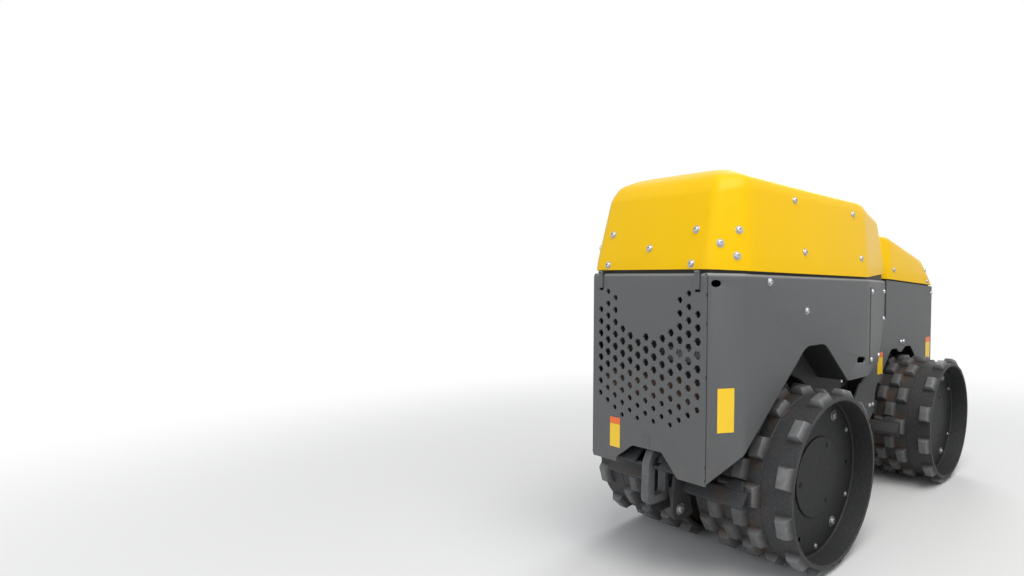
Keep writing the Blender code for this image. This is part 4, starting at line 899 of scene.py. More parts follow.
tank_round = [(0.06, 0.40), (0.40, 0.05), (0.05, 0.35), (0.35, 0.08)]
tank_up = [(0, 0), (0.50, 0.25), (0.25, 0.50), (0.50, 0.50), (0.50, 0.35), (0, 0)]
tank_shell = hood_surface("tank_hood_shell", tank_columns, tank_crown, tank_round, tank_up)
small_hood = joined("tank_hood_shell", [tank_shell])
settle(small_hood, HOOD_PAINT, "tank_hood", ["tank_hood"], sharp=HOOD_SHARP)
show_top(small_hood)

# %% [markdown]
# ## Studded drums
# Each axle carries a left and a right drum, widened by a bolted ring. The shells are turned from a
# profile. The lugs repeat by rule, twelve to a row and staggered from row to row, so one node tree
# places them all: it counts points, works out each one's row and angle, and sets a lug there.

# %% Turned pieces
ROUND_STEPS = 96


def skinned(bm, rings, count):
    """Faces between each ring of points and the next. A ring of one point is a pole."""
    for a, b in zip(rings, rings[1:]):
        for i in range(count):
            j = (i + 1) % count
            quad = (a[i % len(a)], a[j % len(a)], b[j % len(b)], b[i % len(b)])
            corners = list(dict.fromkeys(quad))
            if len(corners) > 2:
                bm.faces.new(corners)


def turned(name, profile, axis, centre, steps=ROUND_STEPS):
    """Turns (radius, height) points round an axis. Closed profiles start and end on the axis."""
    bm = bmesh.new()
    turns = [2.0 * pi * i / steps for i in range(steps)]
    rings = []
    for radius, height in profile:
        flat = [(radius * cos(t), radius * sin(t)) for t in turns] if radius else [(0.0, 0.0)]
        rings.append([bm.verts.new(Vector(AXES[axis](a, b, height)) + Vector(centre)) for a, b in flat])
    skinned(bm, rings, steps)
    return from_bmesh(name, bm)


print("a turned piece has", ROUND_STEPS, "sides")

# %% One lug
SHELL_R, LUG_H = 0.2612, 0.0222
LUG_COUNT = 12
LUG_BASE, LUG_TOP = radians(15.0), radians(11.0)
LUG_SINK = 0.004
LUG_LENGTH = 0.0575
LUG_BEVEL = 0.0125
LUG_EDGE = 0.0022


def lug(name):
    """A lug that stands along -Z from the shell, with sloped sides and softened edges."""
    bm = bmesh.new()
    levels = ((SHELL_R - LUG_SINK, LUG_BASE / 2, 0.0), (SHELL_R, LUG_BASE / 2, 0.0),
              (SHELL_R + LUG_H, LUG_TOP / 2, LUG_BEVEL))
    rings = []
    for radius, turn, back in levels:
        corners = rectangle(-turn, turn, back, LUG_LENGTH - back)
        rings.append([bm.verts.new((radius * sin(t), y, -radius * cos(t))) for t, y in corners])
    skinned(bm, rings, 4)
    bm.faces.new(rings[0][::-1])
    bm.faces.new(rings[-1])
    return joined(name, [soften(from_bmesh(name, bm), LUG_EDGE, segments=3, angle=20.0)])


print("lug", LUG_LENGTH, "m long on a shell of radius", SHELL_R)


# %% The tree that sets the rows
def row_tree():
    """Rows of copies round a drum: which row, which place in it, and so its angle."""
    sizes = ["First Row", "Row Pitch", "Stagger", "Phase", "Axle X", "Axle Z"]
    tree, given = new_tree("lug_rows", [("Lug", "Object"), ("Rows", "Int"), ("Per Row", "Int")]
                           + [(label, "Float") for label in sizes] + [("Steel", "Material")])
    total = calc(tree, "MULTIPLY", given["Rows"], given["Per Row"])
    points = node(tree, "GeometryNodePoints", Count=total)
    index = node(tree, "GeometryNodeInputIndex").outputs[0]
    row = calc(tree, "FLOOR", calc(tree, "DIVIDE", calc(tree, "ADD", index, 0.5), given["Per Row"]))
    place = calc(tree, "SUBTRACT", index, calc(tree, "MULTIPLY", row, given["Per Row"]))
    step = calc(tree, "DIVIDE", 2.0 * pi, given["Per Row"])
    odd = calc(tree, "MODULO", row, 2.0)
    turn = calc(tree, "ADD", calc(tree, "MULTIPLY_ADD", place, step, given["Phase"]),
                calc(tree, "MULTIPLY", odd, given["Stagger"]))
    across = calc(tree, "MULTIPLY_ADD", row, given["Row Pitch"], given["First Row"])
    spot = node(tree, "ShaderNodeCombineXYZ", X=given["Axle X"], Y=across, Z=given["Axle Z"]).outputs[0]
    spin = node(tree, "ShaderNodeCombineXYZ", Y=calc(tree, "MULTIPLY", turn, -1.0)).outputs[0]
    moved = node(tree, "GeometryNodeSetPosition", Geometry=points.outputs[0], Position=spot)
    shape = node(tree, "GeometryNodeObjectInfo", Object=given["Lug"])
    copies = node(tree, "GeometryNodeInstanceOnPoints", Points=moved.outputs[0],
                  Instance=shape.outputs["Geometry"], Rotation=spin)
    return end_tree(tree, copies.outputs[0], given["Steel"])


ROWS = row_tree()
print("nodes in the row tree:", len(ROWS.nodes))

# %% Profiles of drum and ring
DRUM_IN_Y, BASE_W, SHELL_WALL = 0.045, 0.2555, 0.014
ROWS_ON_BASE, FIRST_ROW_Y, ROW_PITCH = 5, 0.0552, 0.0467
RING_W, RING_BAND, RING_WALL = 0.1092, 0.0512, 0.012
RING_SEAM, DISC_DEPTH = 0.0003, 0.078
RING_IN_Y = DRUM_IN_Y + BASE_W + RING_SEAM
RING_OUT_Y = RING_IN_Y + RING_W
DISC_Y = RING_OUT_Y - DISC_DEPTH
COVER_R, COVER_T = 0.1255, 0.006
CHAMFER, FINE_CHAMFER = 0.0025, 0.0015
HUB_R, BOSS_R = 0.080, 0.120
HUB_SUNK, BOSS_SUNK, WEB_SUNK = 0.020, 0.022, 0.030
HUB_SLOPE, BOSS_SLOPE, WEB_CHAMFER = 0.002, 0.004, 0.004
RIM_FOOT = (0.003, 0.004)
GROOVE_IN, GROOVE_HALF, GROOVE_DEEP = 0.011, 0.0012, 0.003
COVER_GAP, COVER_STEP, DISC_FACE = 0.0018, 0.0012, 0.0006


def base_profile():
    """Half a drum from its hub, over the inner face and the shell, to its joint with the ring."""
    inner, outer = DRUM_IN_Y, DRUM_IN_Y + BASE_W
    wall = SHELL_R - SHELL_WALL
    return [(0.0, inner + HUB_SUNK), (HUB_R, inner + HUB_SUNK), (HUB_R + HUB_SLOPE, inner + BOSS_SUNK),
            (BOSS_R, inner + BOSS_SUNK), (BOSS_R + BOSS_SLOPE, inner + WEB_SUNK),
            (wall - WEB_CHAMFER, inner + WEB_SUNK), (wall, inner + WEB_SUNK - WEB_CHAMFER),
            (wall, inner + CHAMFER), (wall + CHAMFER, inner),
            (SHELL_R - CHAMFER, inner), (SHELL_R, inner + CHAMFER), (SHELL_R, outer - CHAMFER),
            (SHELL_R - CHAMFER, outer), (0.0, outer)]


def ring_profile():
    """The ring with its recessed disc, a groove round it, and the round cover on its middle."""
    rim, fine, disc = SHELL_R - RING_WALL, FINE_CHAMFER, DISC_Y + DISC_FACE
    groove = rim - GROOVE_IN
    return [(0.0, RING_IN_Y), (SHELL_R - CHAMFER, RING_IN_Y), (SHELL_R, RING_IN_Y + CHAMFER),
            (SHELL_R, RING_OUT_Y - fine), (SHELL_R - fine, RING_OUT_Y), (rim + fine, RING_OUT_Y),
            (rim, RING_OUT_Y - fine), (rim, DISC_Y + RIM_FOOT[1]), (rim - RIM_FOOT[0], DISC_Y),
            (groove + GROOVE_HALF, DISC_Y), (groove + GROOVE_HALF, DISC_Y - GROOVE_DEEP),
            (groove - GROOVE_HALF, DISC_Y - GROOVE_DEEP), (groove - GROOVE_HALF, disc),
            (COVER_R + COVER_GAP, disc), (COVER_R + COVER_GAP, DISC_Y - COVER_STEP),
            (COVER_R, DISC_Y - COVER_STEP), (COVER_R, DISC_Y + COVER_T - COVER_STEP),
            (COVER_R - COVER_STEP, DISC_Y + COVER_T), (0.0, DISC_Y + COVER_T)]


print("ring from", round(RING_IN_Y, 4), "to", round(RING_OUT_Y, 4), "and its disc at", round(DISC_Y, 4))


# %% Four drums and their rings
def drum_pieces(half):
    x, z = AXLE_CENTRE[half]
    steel = DRUM_STEEL[half]
    shape = lug(half + "_lug")
    stagger = pi / LUG_COUNT
    kinds = (("drum", base_profile(), ROWS_ON_BASE, FIRST_ROW_Y, 0.0),
             ("ring", ring_profile(), 1, RING_IN_Y + RING_BAND, stagger))
    for word, side in (("left", 1), ("right", -1)):
        for kind, profile, rows, first, phase in kinds:
            name = "%s_%s_%s" % (half, kind, word)
            shell = turned(name + "_shell", [(r, side * h) for r, h in profile], "Y", (x, 0.0, z))
            values = {"Lug": shape, "Rows": rows, "Per Row": LUG_COUNT, "Row Pitch": side * ROW_PITCH,
                      "First Row": first if side > 0 else -first - LUG_LENGTH, "Stagger": stagger,
                      "Phase": phase, "Axle X": x, "Axle Z": z, "Steel": steel}
            lugs = run_tree(ROWS, name + "_lugs", bpy.data.meshes.new("empty"), values)
            whole = joined(name + "_steel", [shell, lugs])
            settle(whole, steel, half + "_drums", [name], sharp=28.0)
    bpy.data.objects.remove(shape)


for half in AXLE_CENTRE:
    drum_pieces(half)
print("lugs on the machine:", 2 * len(AXLE_CENTRE) * LUG_COUNT * (ROWS_ON_BASE + 1))

# %% [markdown]
# ## Fasteners
# Bright zinc bolts hold every cover, and duller ones the drums' discs and the scrapers. Each list
# below gives only the places; a ray cast at the sheet finds where its surface is and which way it
# faces. One node tree turns each head to face outwards and gives it a random turn about its own
# axis, as hand-tightened bolts have.


# %% The fastener tree
def fastener_tree():
    tree, given = new_tree("fasteners", [("Bolt", "Object"), ("Seed", "Int"), ("Metal", "Material")])
    named = node(tree, "GeometryNodeInputNamedAttribute", {"data_type": "FLOAT_VECTOR"}, Name="facing")
    turn = node(tree, "FunctionNodeRandomValue", _2=0.0, _3=2.0 * pi, Seed=given["Seed"])
    spun = node(tree, "ShaderNodeCombineXYZ", Z=turn.outputs[1]).outputs[0]
    aimed = node(tree, "FunctionNodeAlignRotationToVector", {"axis": "Z"}, Vector=named.outputs[0]).outputs[0]
    both = node(tree, "FunctionNodeRotateRotation", {"rotation_space": "LOCAL"}, Rotation=aimed,
                Rotate_By=spun)
    shape = node(tree, "GeometryNodeObjectInfo", Object=given["Bolt"])
    copies = node(tree, "GeometryNodeInstanceOnPoints", Points=given["Geometry"],
                  Instance=shape.outputs["Geometry"], Rotation=both.outputs[0])
    return end_tree(tree, copies.outputs[0], given["Metal"])


FASTENERS = fastener_tree()
print("nodes in the fastener tree:", len(FASTENERS.nodes))

# %% Bolt shapes
# Points up the dome, as shares of the head's radius and height.
BOLT_DOME = ((1.04, 0.0), (1.0, 0.25), (0.95, 0.6), (0.82, 0.85), (0.62, 1.0))
BOLT_SUNK = 0.0012
WASHER_SHARE, WASHER_SIDE, WASHER_BEVEL = 0.13, 0.7, 0.3
SOCKET_FLOOR, SOCKET_TAPER = 0.45, 0.97
SMALL_STEPS = 24


def bolt_shape(name, head_r, head_h, washer_r, socket_r):
    """A domed head on a washer, with a hollow for the key."""
    washer_h = washer_r * WASHER_SHARE
    top, bottom = washer_h + head_h, washer_h + head_h * SOCKET_FLOOR
    profile = [(0.0, -BOLT_SUNK), (washer_r, -BOLT_SUNK), (washer_r, washer_h * WASHER_SIDE)]
    profile.append((washer_r - washer_h * WASHER_BEVEL, washer_h))
    profile += [(head_r * share, washer_h + head_h * up) for share, up in BOLT_DOME]
    profile += [(socket_r, top), (socket_r * SOCKET_TAPER, bottom), (0.0, bottom)]
    piece = turned(name, profile, "Z", (0.0, 0.0, 0.0), SMALL_STEPS)
    piece.hide_render = True
    return piece


# Head radius and height, washer radius, radius of the key's hollow.
BOLT_SIZES = {"cover": (0.0088, 0.0055, 0.0118, 0.0040), "small": (0.0072, 0.0048, 0.0096, 0.0034),
              "disc": (0.0120, 0.0080, 0.0172, 0.0058)}
BOLTS = {kind: bolt_shape(kind + "_bolt", *sizes) for kind, sizes in BOLT_SIZES.items()}
print("bolt kinds", sorted(BOLTS))

# %% Setting bolts
RAY_X, RAY_Y, RAY_Z = 1.4, 0.6, 1.6


def bolts(name, kind, spots, body, seed, metal=ZINC):
    """Bolts at (place, facing) spots, as one object."""
    facings = [part for place, facing in spots for part in facing]
    mesh = points_mesh(name, [place for place, facing in spots], "facing", "FLOAT_VECTOR", facings)
    piece = run_tree(FASTENERS, name, mesh, {"Bolt": BOLTS[kind], "Seed": seed, "Metal": metal})
    settle(piece, metal, body, sharp=40.0)
    print(name, len(spots))


def hits(piece, starts, way):
    """Where rays meet a piece, and the way that its surface faces there."""
    view = bpy.context.evaluated_depsgraph_get()
    view.update()
    shape = BVHTree.FromObject(piece, view)
    spots = []
    for start in starts:
        place, facing = shape.ray_cast(Vector(start), Vector(way))[:2]
        if place is None:
            print("no surface for", piece.name, start)
            continue
        spots.append((place, facing if facing.dot(Vector(way)) < 0 else -facing))
    return spots


def on_side(piece, side, places):
    """Spots on one side of a piece, from (X, Z) places."""
    return hits(piece, [(x, side * RAY_Y, z) for x, z in places], (0.0, -side, 0.0))


def both_sides(pieces, places):
    """Spots on the left and the right of one or two pieces."""
    return on_side(pieces[0], 1, places) + on_side(pieces[-1], -1, places)


print("rays start", RAY_X, RAY_Y, "and", RAY_Z, "m from the middle")

# %% Bolts on the hoods and side sheets
HOOD_BOLTS = [(0.188, 1.155), (0.579, 1.155), (0.157, 0.994), (0.549, 0.994), (0.8585, 1.038), (0.911, 0.999),
              (0.874, 0.966)]
HOOD_END_BOLTS = [(0.175, 1.038), (-0.175, 1.038), (0.0, 0.990), (0.175, 0.943), (-0.175, 0.943)]
HOOD_TOP_BOLTS = [(0.201, 0.0), (0.593, 0.0)]
SIDE_BOLTS = [(0.751, 0.897), (0.548, 0.809)]
TANK_HOOD_BOLTS = [(-0.845, 0.984), (-0.843, 0.926), (-0.420, 0.972)]

spots = both_sides([whole_hood], HOOD_BOLTS)
spots += hits(whole_hood, [(RAY_X, y, z) for y, z in HOOD_END_BOLTS], (-1.0, 0.0, 0.0))
spots += hits(whole_hood, [(x, y, RAY_Z) for x, y in HOOD_TOP_BOLTS], (0.0, 0.0, -1.0))
bolts("engine_hood_bolts", "cover", spots, "engine_hood", seed=3)
bolts("side_sheet_bolts", "cover", both_sides(side_sheets, SIDE_BOLTS), "engine_half", seed=4)
bolts("tank_hood_bolts", "cover", both_sides([small_hood], TANK_HOOD_BOLTS), "tank_hood", seed=5)

# %% Bolts on the CAD's own plates
COVER_BOLTS = [(-0.208, 0.871), (0.061, 0.871), (-0.208, 0.755), (-0.098, 0.609), (0.061, 0.609)]
ACCESS_BOLTS = [(0.144, 0.799), (0.366, 0.799), (0.366, 0.704), (0.144, 0.609), (0.262, 0.609)]
TANK_SIDE_BOLTS = [(-0.875, 0.390), (-0.846, 0.390), (-0.534, 0.632), (-0.504, 0.632), (-0.206, 0.378),
                   (-0.176, 0.378), (-0.893, 0.864)]

covers = [cad["front_cover_left"], cad["front_cover_right"]]
bolts("front_cover_bolts", "cover", both_sides(covers, COVER_BOLTS), "engine_half", seed=6)
access_side = 1 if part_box("side_access_cover")[0].y > 0 else -1
access = on_side(cad["side_access_cover"], access_side, ACCESS_BOLTS)
bolts("access_cover_bolts", "cover", access, "engine_half", seed=7)
tank_sides = [cad["tank_side_left"], cad["tank_side_right"]]
bolts("tank_side_bolts", "cover", both_sides(tank_sides, TANK_SIDE_BOLTS), "tank_half", seed=8)

# %% Bolts and holes on the drum discs
# Kind, radius of the round and angles; then for holes, radius, angles, each one's radius and its level.
DISC_BOLTS = [("disc", 0.205, (0, 120, 240)), ("small", 0.226, (30, 90, 150, 210, 270, 330))]
DISC_HOLES = [(0.196, (60, 180, 300), 0.0065, DISC_Y), (0.104, (0, 120, 240), 0.0085, DISC_Y + COVER_T)]
HOLE_PROFILE = [(0.0, -0.001), (1.0, -0.001), (1.0, 0.0006), (0.0, 0.0006)]


def round_axle(half, radius, angles, y):
    x, z = AXLE_CENTRE[half]
    return [(x + radius * cos(radians(a)), y, z + radius * sin(radians(a))) for a in angles]


def hole_shade_disc(place, radius, side):
    """A dark round of painted shade that stands for a hole in the disc."""
    return turned("hole", [(radius * r, side * h) for r, h in HOLE_PROFILE], "Y", place, SMALL_STEPS)


for seed, half in enumerate(AXLE_CENTRE, start=20):
    for kind, radius, angles in DISC_BOLTS:
        spots = [(p, (0.0, side, 0.0)) for side in (1, -1)
                 for p in round_axle(half, radius, angles, side * DISC_Y)]
        bolts("%s_drum_%s_bolts" % (half, kind), kind, spots, half + "_drums", seed, DULL_BOLT)
    # Painted shade: each hole is a thin dark disc on the surface, not an opening.
    dark = []
    for radius, angles, hole_r, y in DISC_HOLES:
        dark += [hole_shade_disc(p, hole_r, side) for side in (1, -1)
                 for p in round_axle(half, radius, angles, side * y)]
    settle(joined(half + "_disc_holes", dark), SHADE, half + "_drums")
print("holes in the discs of each half:", len(dark))

# %% [markdown]
# ## Finishes on the packed pieces
# Many packed pieces already have the right shape: side plates, the yoke, the steering cylinder,
# the chassis. They keep it and only get a better finish in their own material slot.

# %% Finishes on the packed pieces
PACKED = [
    (BODY_PAINT, "front_cover_left front_cover_right side_access_cover tank_side_left tank_side_right "
                 "tank_end_plate tank_front_sheet hood_hinge_left hood_hinge_right"),
    (FRAME_PAINT, "engine_lower_frame engine_floor_pan engine_block hydraulic_tank tank_lower_frame yoke "
                  "steering_barrel lock_bar engine_axle tank_axle"),
    (ZINC, "steering_rod articulation_pin"),
    (BLACK, "engine_hood_latch tank_hood_latch"),
    (COOLER, "cooler_core"),
]
for finish, names in PACKED:
    for name in names.split():
        for number in range(len(cad[name].data.materials)):
            cad[name].data.materials[number] = finish
print("refinished pieces:", sum(len(names.split()) for finish, names in PACKED))

# %% [markdown]
# ## Chassis ends
# Below the grille hang an angle bar that scrapes both drums and a ring plate for towing. They are
# flame-cut from thick plate, so each outline gets rounded corners before it is raised, and a small
# bevel after.

# %% Scraper sizes
SCRAPER_R, APEX_R = 0.2900, 0.3290
BAR_UP, BAR_NOSE, BAR_LOW, BAR_T = 0.020, -0.016, -0.040, 0.008
BAR_LEVEL_T, BAR_UPRIGHT_T = BAR_T * 1.35, BAR_T * 1.2
BAR_HALF = 0.288
BAR_TOP_R = 0.303
BAR_ROUND, CHEEK_ROUND = 0.0035, 0.010
BAR_EDGE, CHEEK_EDGE, CUT_EDGE_ANGLE = 0.0012, 0.0015, 40.0
TAB_LOW_Y, TAB_TOP_Y, TAB_UP, TAB_SINK = (0.194, 0.268), (0.217, 0.258), 0.041, 0.004
CHEEK_Y = (0.042, 0.054)
CHEEK_ARC, CHEEK_STEPS = (-20.0, 11.0), 8
CHEEK_BOLT = (0.330, 0.210)
HANG_Z = 0.3437
CHEEKS = {"inner": [(0.302, HANG_Z), (0.334, HANG_Z), (0.337, 0.205), (0.319, 0.178), (0.272, 0.176)],
          "outer": [(0.302, HANG_Z), (0.345, HANG_Z), (0.360, 0.262), (0.360, 0.196), (0.346, 0.178),
                    (0.272, 0.176)]}
print("scraper bars are", 2 * BAR_HALF, "m wide")


# %% Scraper bars
def bevelled_plate(name, loops, axis, low, high, width):
    piece = plate(name, loops, axis, low, high)
    return joined(name, [soften(piece, width, segments=3, angle=CUT_EDGE_ANGLE)])


def tab_plate(outline, side, bend_z):
    """A tab on the bar's upper edge, which narrows above the bend."""
    low, high = sorted((side * TAB_LOW_Y[0], side * TAB_LOW_Y[1]))
    tab = plate("scraper_tab", [outline], "Y", low, high)
    for v in tab.data.vertices:
        if v.co.z > bend_z:
            v.co.y = side * TAB_TOP_Y[0 if abs(v.co.y) < sum(TAB_LOW_Y) / 2 else 1]
    return soften(tab, CHEEK_EDGE, angle=CUT_EDGE_ANGLE)


def scraper(half, place, way):
    """A folded bar, with two tabs on its upper edge and two cheeks that hang it from the chassis."""
    name = "%s_scraper_%s" % (half, place)
    x, z = AXLE_CENTRE[half]
    inner, nose, top = x + way * SCRAPER_R, x + way * APEX_R, x + way * BAR_TOP_R
    back = way * BAR_LEVEL_T
    bar = [(top, z + BAR_UP), (nose, z + BAR_NOSE), (inner, z + BAR_LOW),
           (inner, z + BAR_LOW + BAR_UPRIGHT_T), (nose - back, z + BAR_NOSE), (top - back, z + BAR_UP)]
    tip = top - way * (TAB_UP - BAR_UP) * (APEX_R - BAR_TOP_R) / (BAR_UP - BAR_NOSE)
    tab = [(top - back, z + BAR_UP - TAB_SINK), (top, z + BAR_UP - TAB_SINK), (tip, z + TAB_UP),
           (tip - back, z + TAB_UP)]
    start, end = CHEEK_ARC if way > 0 else [180.0 - a for a in CHEEK_ARC]
    cheek = eased([(x + way * dx, height) for dx, height in CHEEKS[place]], CHEEK_ROUND)
    cheek += arc((x, z), SCRAPER_R, start, end, CHEEK_STEPS)
    parts = [bevelled_plate("scraper_bar", [eased(bar, BAR_ROUND)], "Y", -BAR_HALF, BAR_HALF, BAR_EDGE)]
    for side in (1, -1):
        low, high = sorted((side * CHEEK_Y[0], side * CHEEK_Y[1]))
        parts.append(tab_plate(tab, side, z + BAR_UP))
        parts.append(bevelled_plate("scraper_cheek", [cheek], "Y", low, high, CHEEK_EDGE))
    settle(joined(name + "_steel", parts), FRAME_PAINT, half + "_half", [name])
    spots = [((x + way * CHEEK_BOLT[0], side * CHEEK_Y[1], CHEEK_BOLT[1]), (0.0, side, 0.0))
             for side in (1, -1)]
    bolts(name + "_bolts", "disc", spots, half + "_half", seed=30, metal=DULL_BOLT)


for half, place, way in (("engine", "outer", 1), ("engine", "inner", -1), ("tank", "inner", 1),
                         ("tank", "outer", -1)):
    scraper(half, place, way)
for shape in BOLTS.values():
    bpy.data.objects.remove(shape)

# %% Tow loops
TOW_HALF, TOW_EDGE = 0.0150, 0.0030
TOW_FRONT, TOW_CHAMFER = (0.004, 0.036), 0.022
TOW_ROUNDS, TOW_HOLE_ROUND = [0.003, 0.012, 0.026, 0.010, 0.006], 0.012
# Which way it points; X inside and outside, Z of its top and foot; corners of its opening.
TOW_LOOPS = {"engine": (1, (0.864, 0.9485, 0.396, 0.236),
                        [(0.880, 0.373), (0.880, 0.258), (0.922, 0.258), (0.920, 0.373)]),
             "tank": (-1, (0.8745, 0.9535, 0.376, 0.237),
                      [(0.889, 0.350), (0.889, 0.258), (0.931, 0.258), (0.929, 0.350)])}

for half, (way, (x_in, x_out, top, low), hole) in TOW_LOOPS.items():
    name = half + "_tow_loop"
    outer = [(x_in, top), (x_in, low), (x_out, low), (x_out - TOW_FRONT[0], top - TOW_FRONT[1]),
             (x_out - TOW_CHAMFER, top)]
    outline = eased([(way * a, b) for a, b in outer], TOW_ROUNDS, steps=6)
    opening = eased([(way * a, b) for a, b in hole], TOW_HOLE_ROUND, steps=5)
    ring = bevelled_plate(name + "_ring", [outline, opening], "Y", -TOW_HALF, TOW_HALF, TOW_EDGE)
    settle(ring, LOOP_PAINT, half + "_half", [name])
print("tow loops", sorted(TOW_LOOPS))

# %% [markdown]
# ## Seals, loop, cap and colour plates
# A black rubber strip closes each hood's joint, so no light shows through it. The lifting loop is
# one bent bar, the filler cap has grip ribs, and a few thin plates add their plain colour.

# %% Rubber seals
SEAL_T, SEAL_IN = 0.004, 0.014
SEAL_EDGE = 0.0008


def seal(name, right, level, height, body):
    """A closed strip inside a body's open top, from its right half; level gives its middle height at X."""
    plan = [Vector(p) for p in right + [(x, -y) for x, y in reversed(right)]]
    bm = bmesh.new()
    rings = []
    for i, (x, y) in enumerate(plan):
        along = (plan[(i + 1) % len(plan)] - plan[i - 1]).normalized()
        inward = Vector((-along.y, along.x))
        corners = ((0.0, -height / 2), (0.0, height / 2), (SEAL_T, height / 2), (SEAL_T, -height / 2))
        rings.append([bm.verts.new((x + d * inward.x, y + d * inward.y, level(x) + h)) for d, h in corners])
    skinned(bm, rings + rings[:1], 4)
    settle(soften(from_bmesh(name, bm), SEAL_EDGE), RUBBER, body)


ENGINE_STATIONS = [NOSE_X + 0.020, 0.0, TAPER_X - 0.03, TAPER_X, TAPER_X + 0.03, 0.5, CORNER_X - 0.02,
                   CORNER_X, 0.934]
ENGINE_SEAL_Z = 0.931
ENGINE_SEAL_H, TANK_SEAL_H = 0.046, 0.036
TANK_SEAL = [(-0.912, -0.140), (-0.892, -0.162), (-0.60, -0.162), (-0.365, -0.162), (-0.352, -0.140)]
TANK_RIM = ((-0.925, 0.903), (-0.335, 0.925))
TANK_SEAL_UP = 0.003


def tank_rim(x):
    (x0, z0), (x1, z1) = TANK_RIM
    return z0 + (z1 - z0) * (x - x0) / (x1 - x0)


engine_plan = [(x, -(body_width(x) - SEAL_IN)) for x in ENGINE_STATIONS]
seal("engine_seal", engine_plan, lambda x: ENGINE_SEAL_Z, ENGINE_SEAL_H, "engine_half")
seal("tank_seal", TANK_SEAL, lambda x: tank_rim(x) + TANK_SEAL_UP, TANK_SEAL_H, "tank_half")
print("seals", SEAL_T, "m thick")

# %% Lifting loop
LOOP_TOP_Z, LOOP_FOOT_Z = 1.285, 0.760
FOOT_T, FOOT_ROUND, FOOT_EDGE, FOOT_SINK = 0.006, 0.008, 0.0012, 0.001
BEND_STEPS = 28

loop_r = (LOOP_X[1] - LOOP_X[0]) / 2
bend_centre = ((LOOP_X[0] + LOOP_X[1]) / 2, LOOP_TOP_Z - LOOP_BAR_R - loop_r)
bend = arc(bend_centre, loop_r, 180.0, 0.0, BEND_STEPS)
loop_path = [(LOOP_X[0], LOOP_FOOT_Z)] + bend + [(LOOP_X[1], LOOP_FOOT_Z)]
low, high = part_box("lifting_loop")
foot_outline = eased(rectangle(low.x, high.x, low.y, high.y), FOOT_ROUND)
foot = bevelled_plate("loop_foot", [foot_outline], "Z", low.z, low.z + FOOT_T, FOOT_EDGE)
bar_line = [(x, 0.0, max(z, low.z + FOOT_T - FOOT_SINK)) for x, z in loop_path]
bar = curve_object("loop_bar", [bar_line], closed=False, dimensions="3D", bevel_depth=LOOP_BAR_R,
                   bevel_resolution=6, use_fill_caps=True)
settle(joined("lifting_loop_steel", [bar, foot]), FRAME_PAINT, "engine_half", ["lifting_loop"])
print("lifting loop bent to a radius of", round(loop_r, 4), "m")

# %% Filler cap
CAP_STEPS = 144
GRIPS, GRIP_DEPTH = 24, 0.035
GRIP_FROM, GRIP_TO = 0.014, 0.005
# Inset from the cap's radius, with the drop from its top or the rise from its foot.
CAP_DOME = [(0.018, 0.0), (0.016, 0.0015), (0.011, 0.006), (0.0075, 0.012)]
CAP_FOOT = [(0.007, 0.012), (0.003, 0.009), (0.0, 0.007), (0.0, 0.0), (0.006, 0.0), (0.006, -0.010)]

low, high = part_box("filler_cap")
cap_r, cap_x, cap_y = (high.x - low.x) / 2, (low.x + high.x) / 2, (low.y + high.y) / 2
profile = [(0.0, high.z)] + [(cap_r - inset, high.z - drop) for inset, drop in CAP_DOME]
profile += [(cap_r - inset, low.z + rise) for inset, rise in CAP_FOOT] + [(0.0, low.z + CAP_FOOT[-1][1])]
cap = turned("filler_cap_lid", profile, "Z", (cap_x, cap_y, 0.0), CAP_STEPS)
for v in cap.data.vertices:
    out = Vector((v.co.x - cap_x, v.co.y - cap_y))
    if cap_r - GRIP_FROM < out.length < cap_r - GRIP_TO:
        grip = 1.0 - GRIP_DEPTH * (0.5 + 0.5 * cos(GRIPS * atan2(out.y, out.x)))
        v.co.x, v.co.y = cap_x + out.x * grip, cap_y + out.y * grip
settle(cap, BLACK, "engine_hood", ["filler_cap"], sharp=30.0)
print("filler cap", round(2 * cap_r, 4), "m across")

# %% Blank colour plates
MARKER_GAP, MARKER_T = 0.0003, 0.0005
SPLIT_SHARE, SPLIT_GAP = 0.76, 0.0005
# Each one's span along Y, or X on the sides, and then its span in height.
GRILLE_MARKERS = [("grille_marker", MARKER_YELLOW, (-0.156, -0.110, 0.386, 0.457)),
                  ("grille_marker_head", MARKER_ORANGE, (-0.156, -0.110, 0.4575, 0.477)),
                  ("grille_marker_small", MARKER_GREY, (-0.016, 0.022, 0.410, 0.444))]
FACET_MARKER = (0.886, 0.9245, 0.486, 0.6065)
TANK_MARKERS = {"inner": (-0.300, -0.248, 0.503, 0.600), "outer": (-0.888, -0.828, 0.525, 0.634)}


def marker(name, corners, outward, material, body):
    """A thin blank sheet on four corners that lie on a surface."""
    bm = bmesh.new()
    sheets = [[bm.verts.new(Vector(p) + Vector(outward) * lift) for p in corners]
              for lift in (MARKER_GAP, MARKER_GAP + MARKER_T)]
    for sheet in sheets:
        bm.faces.new(sheet)
    skinned(bm, sheets, 4)
    settle(from_bmesh(name, bm), material, body)


for name, colour, sizes in GRILLE_MARKERS:
    marker(name, [(GRILLE_X, y, z) for y, z in rectangle(*sizes)], (1, 0, 0), colour, "engine_half")
facet_out = Vector((BODY_W - GRILLE_W, GRILLE_X - CORNER_X, 0.0)).normalized()
facet = [(x, body_width(x), z) for x, z in rectangle(*FACET_MARKER)]
marker("facet_marker", facet, facet_out, MARKER_YELLOW, "engine_half")
for side, word in ((1, "left"), (-1, "right")):
    for place, (x0, x1, z0, z1) in TANK_MARKERS.items():
        split = z0 + (z1 - z0) * SPLIT_SHARE
        name = "tank_marker_%s_%s" % (place, word)
        for label, colour, low, high in ((name, MARKER_YELLOW, z0, split),
                                         (name + "_head", MARKER_ORANGE, split + SPLIT_GAP, z1)):
            corners = [(x, side * TANK_W, z) for x, z in rectangle(x0, x1, low, high)]
            marker(label, corners, (0, side, 0), colour, "tank_half")
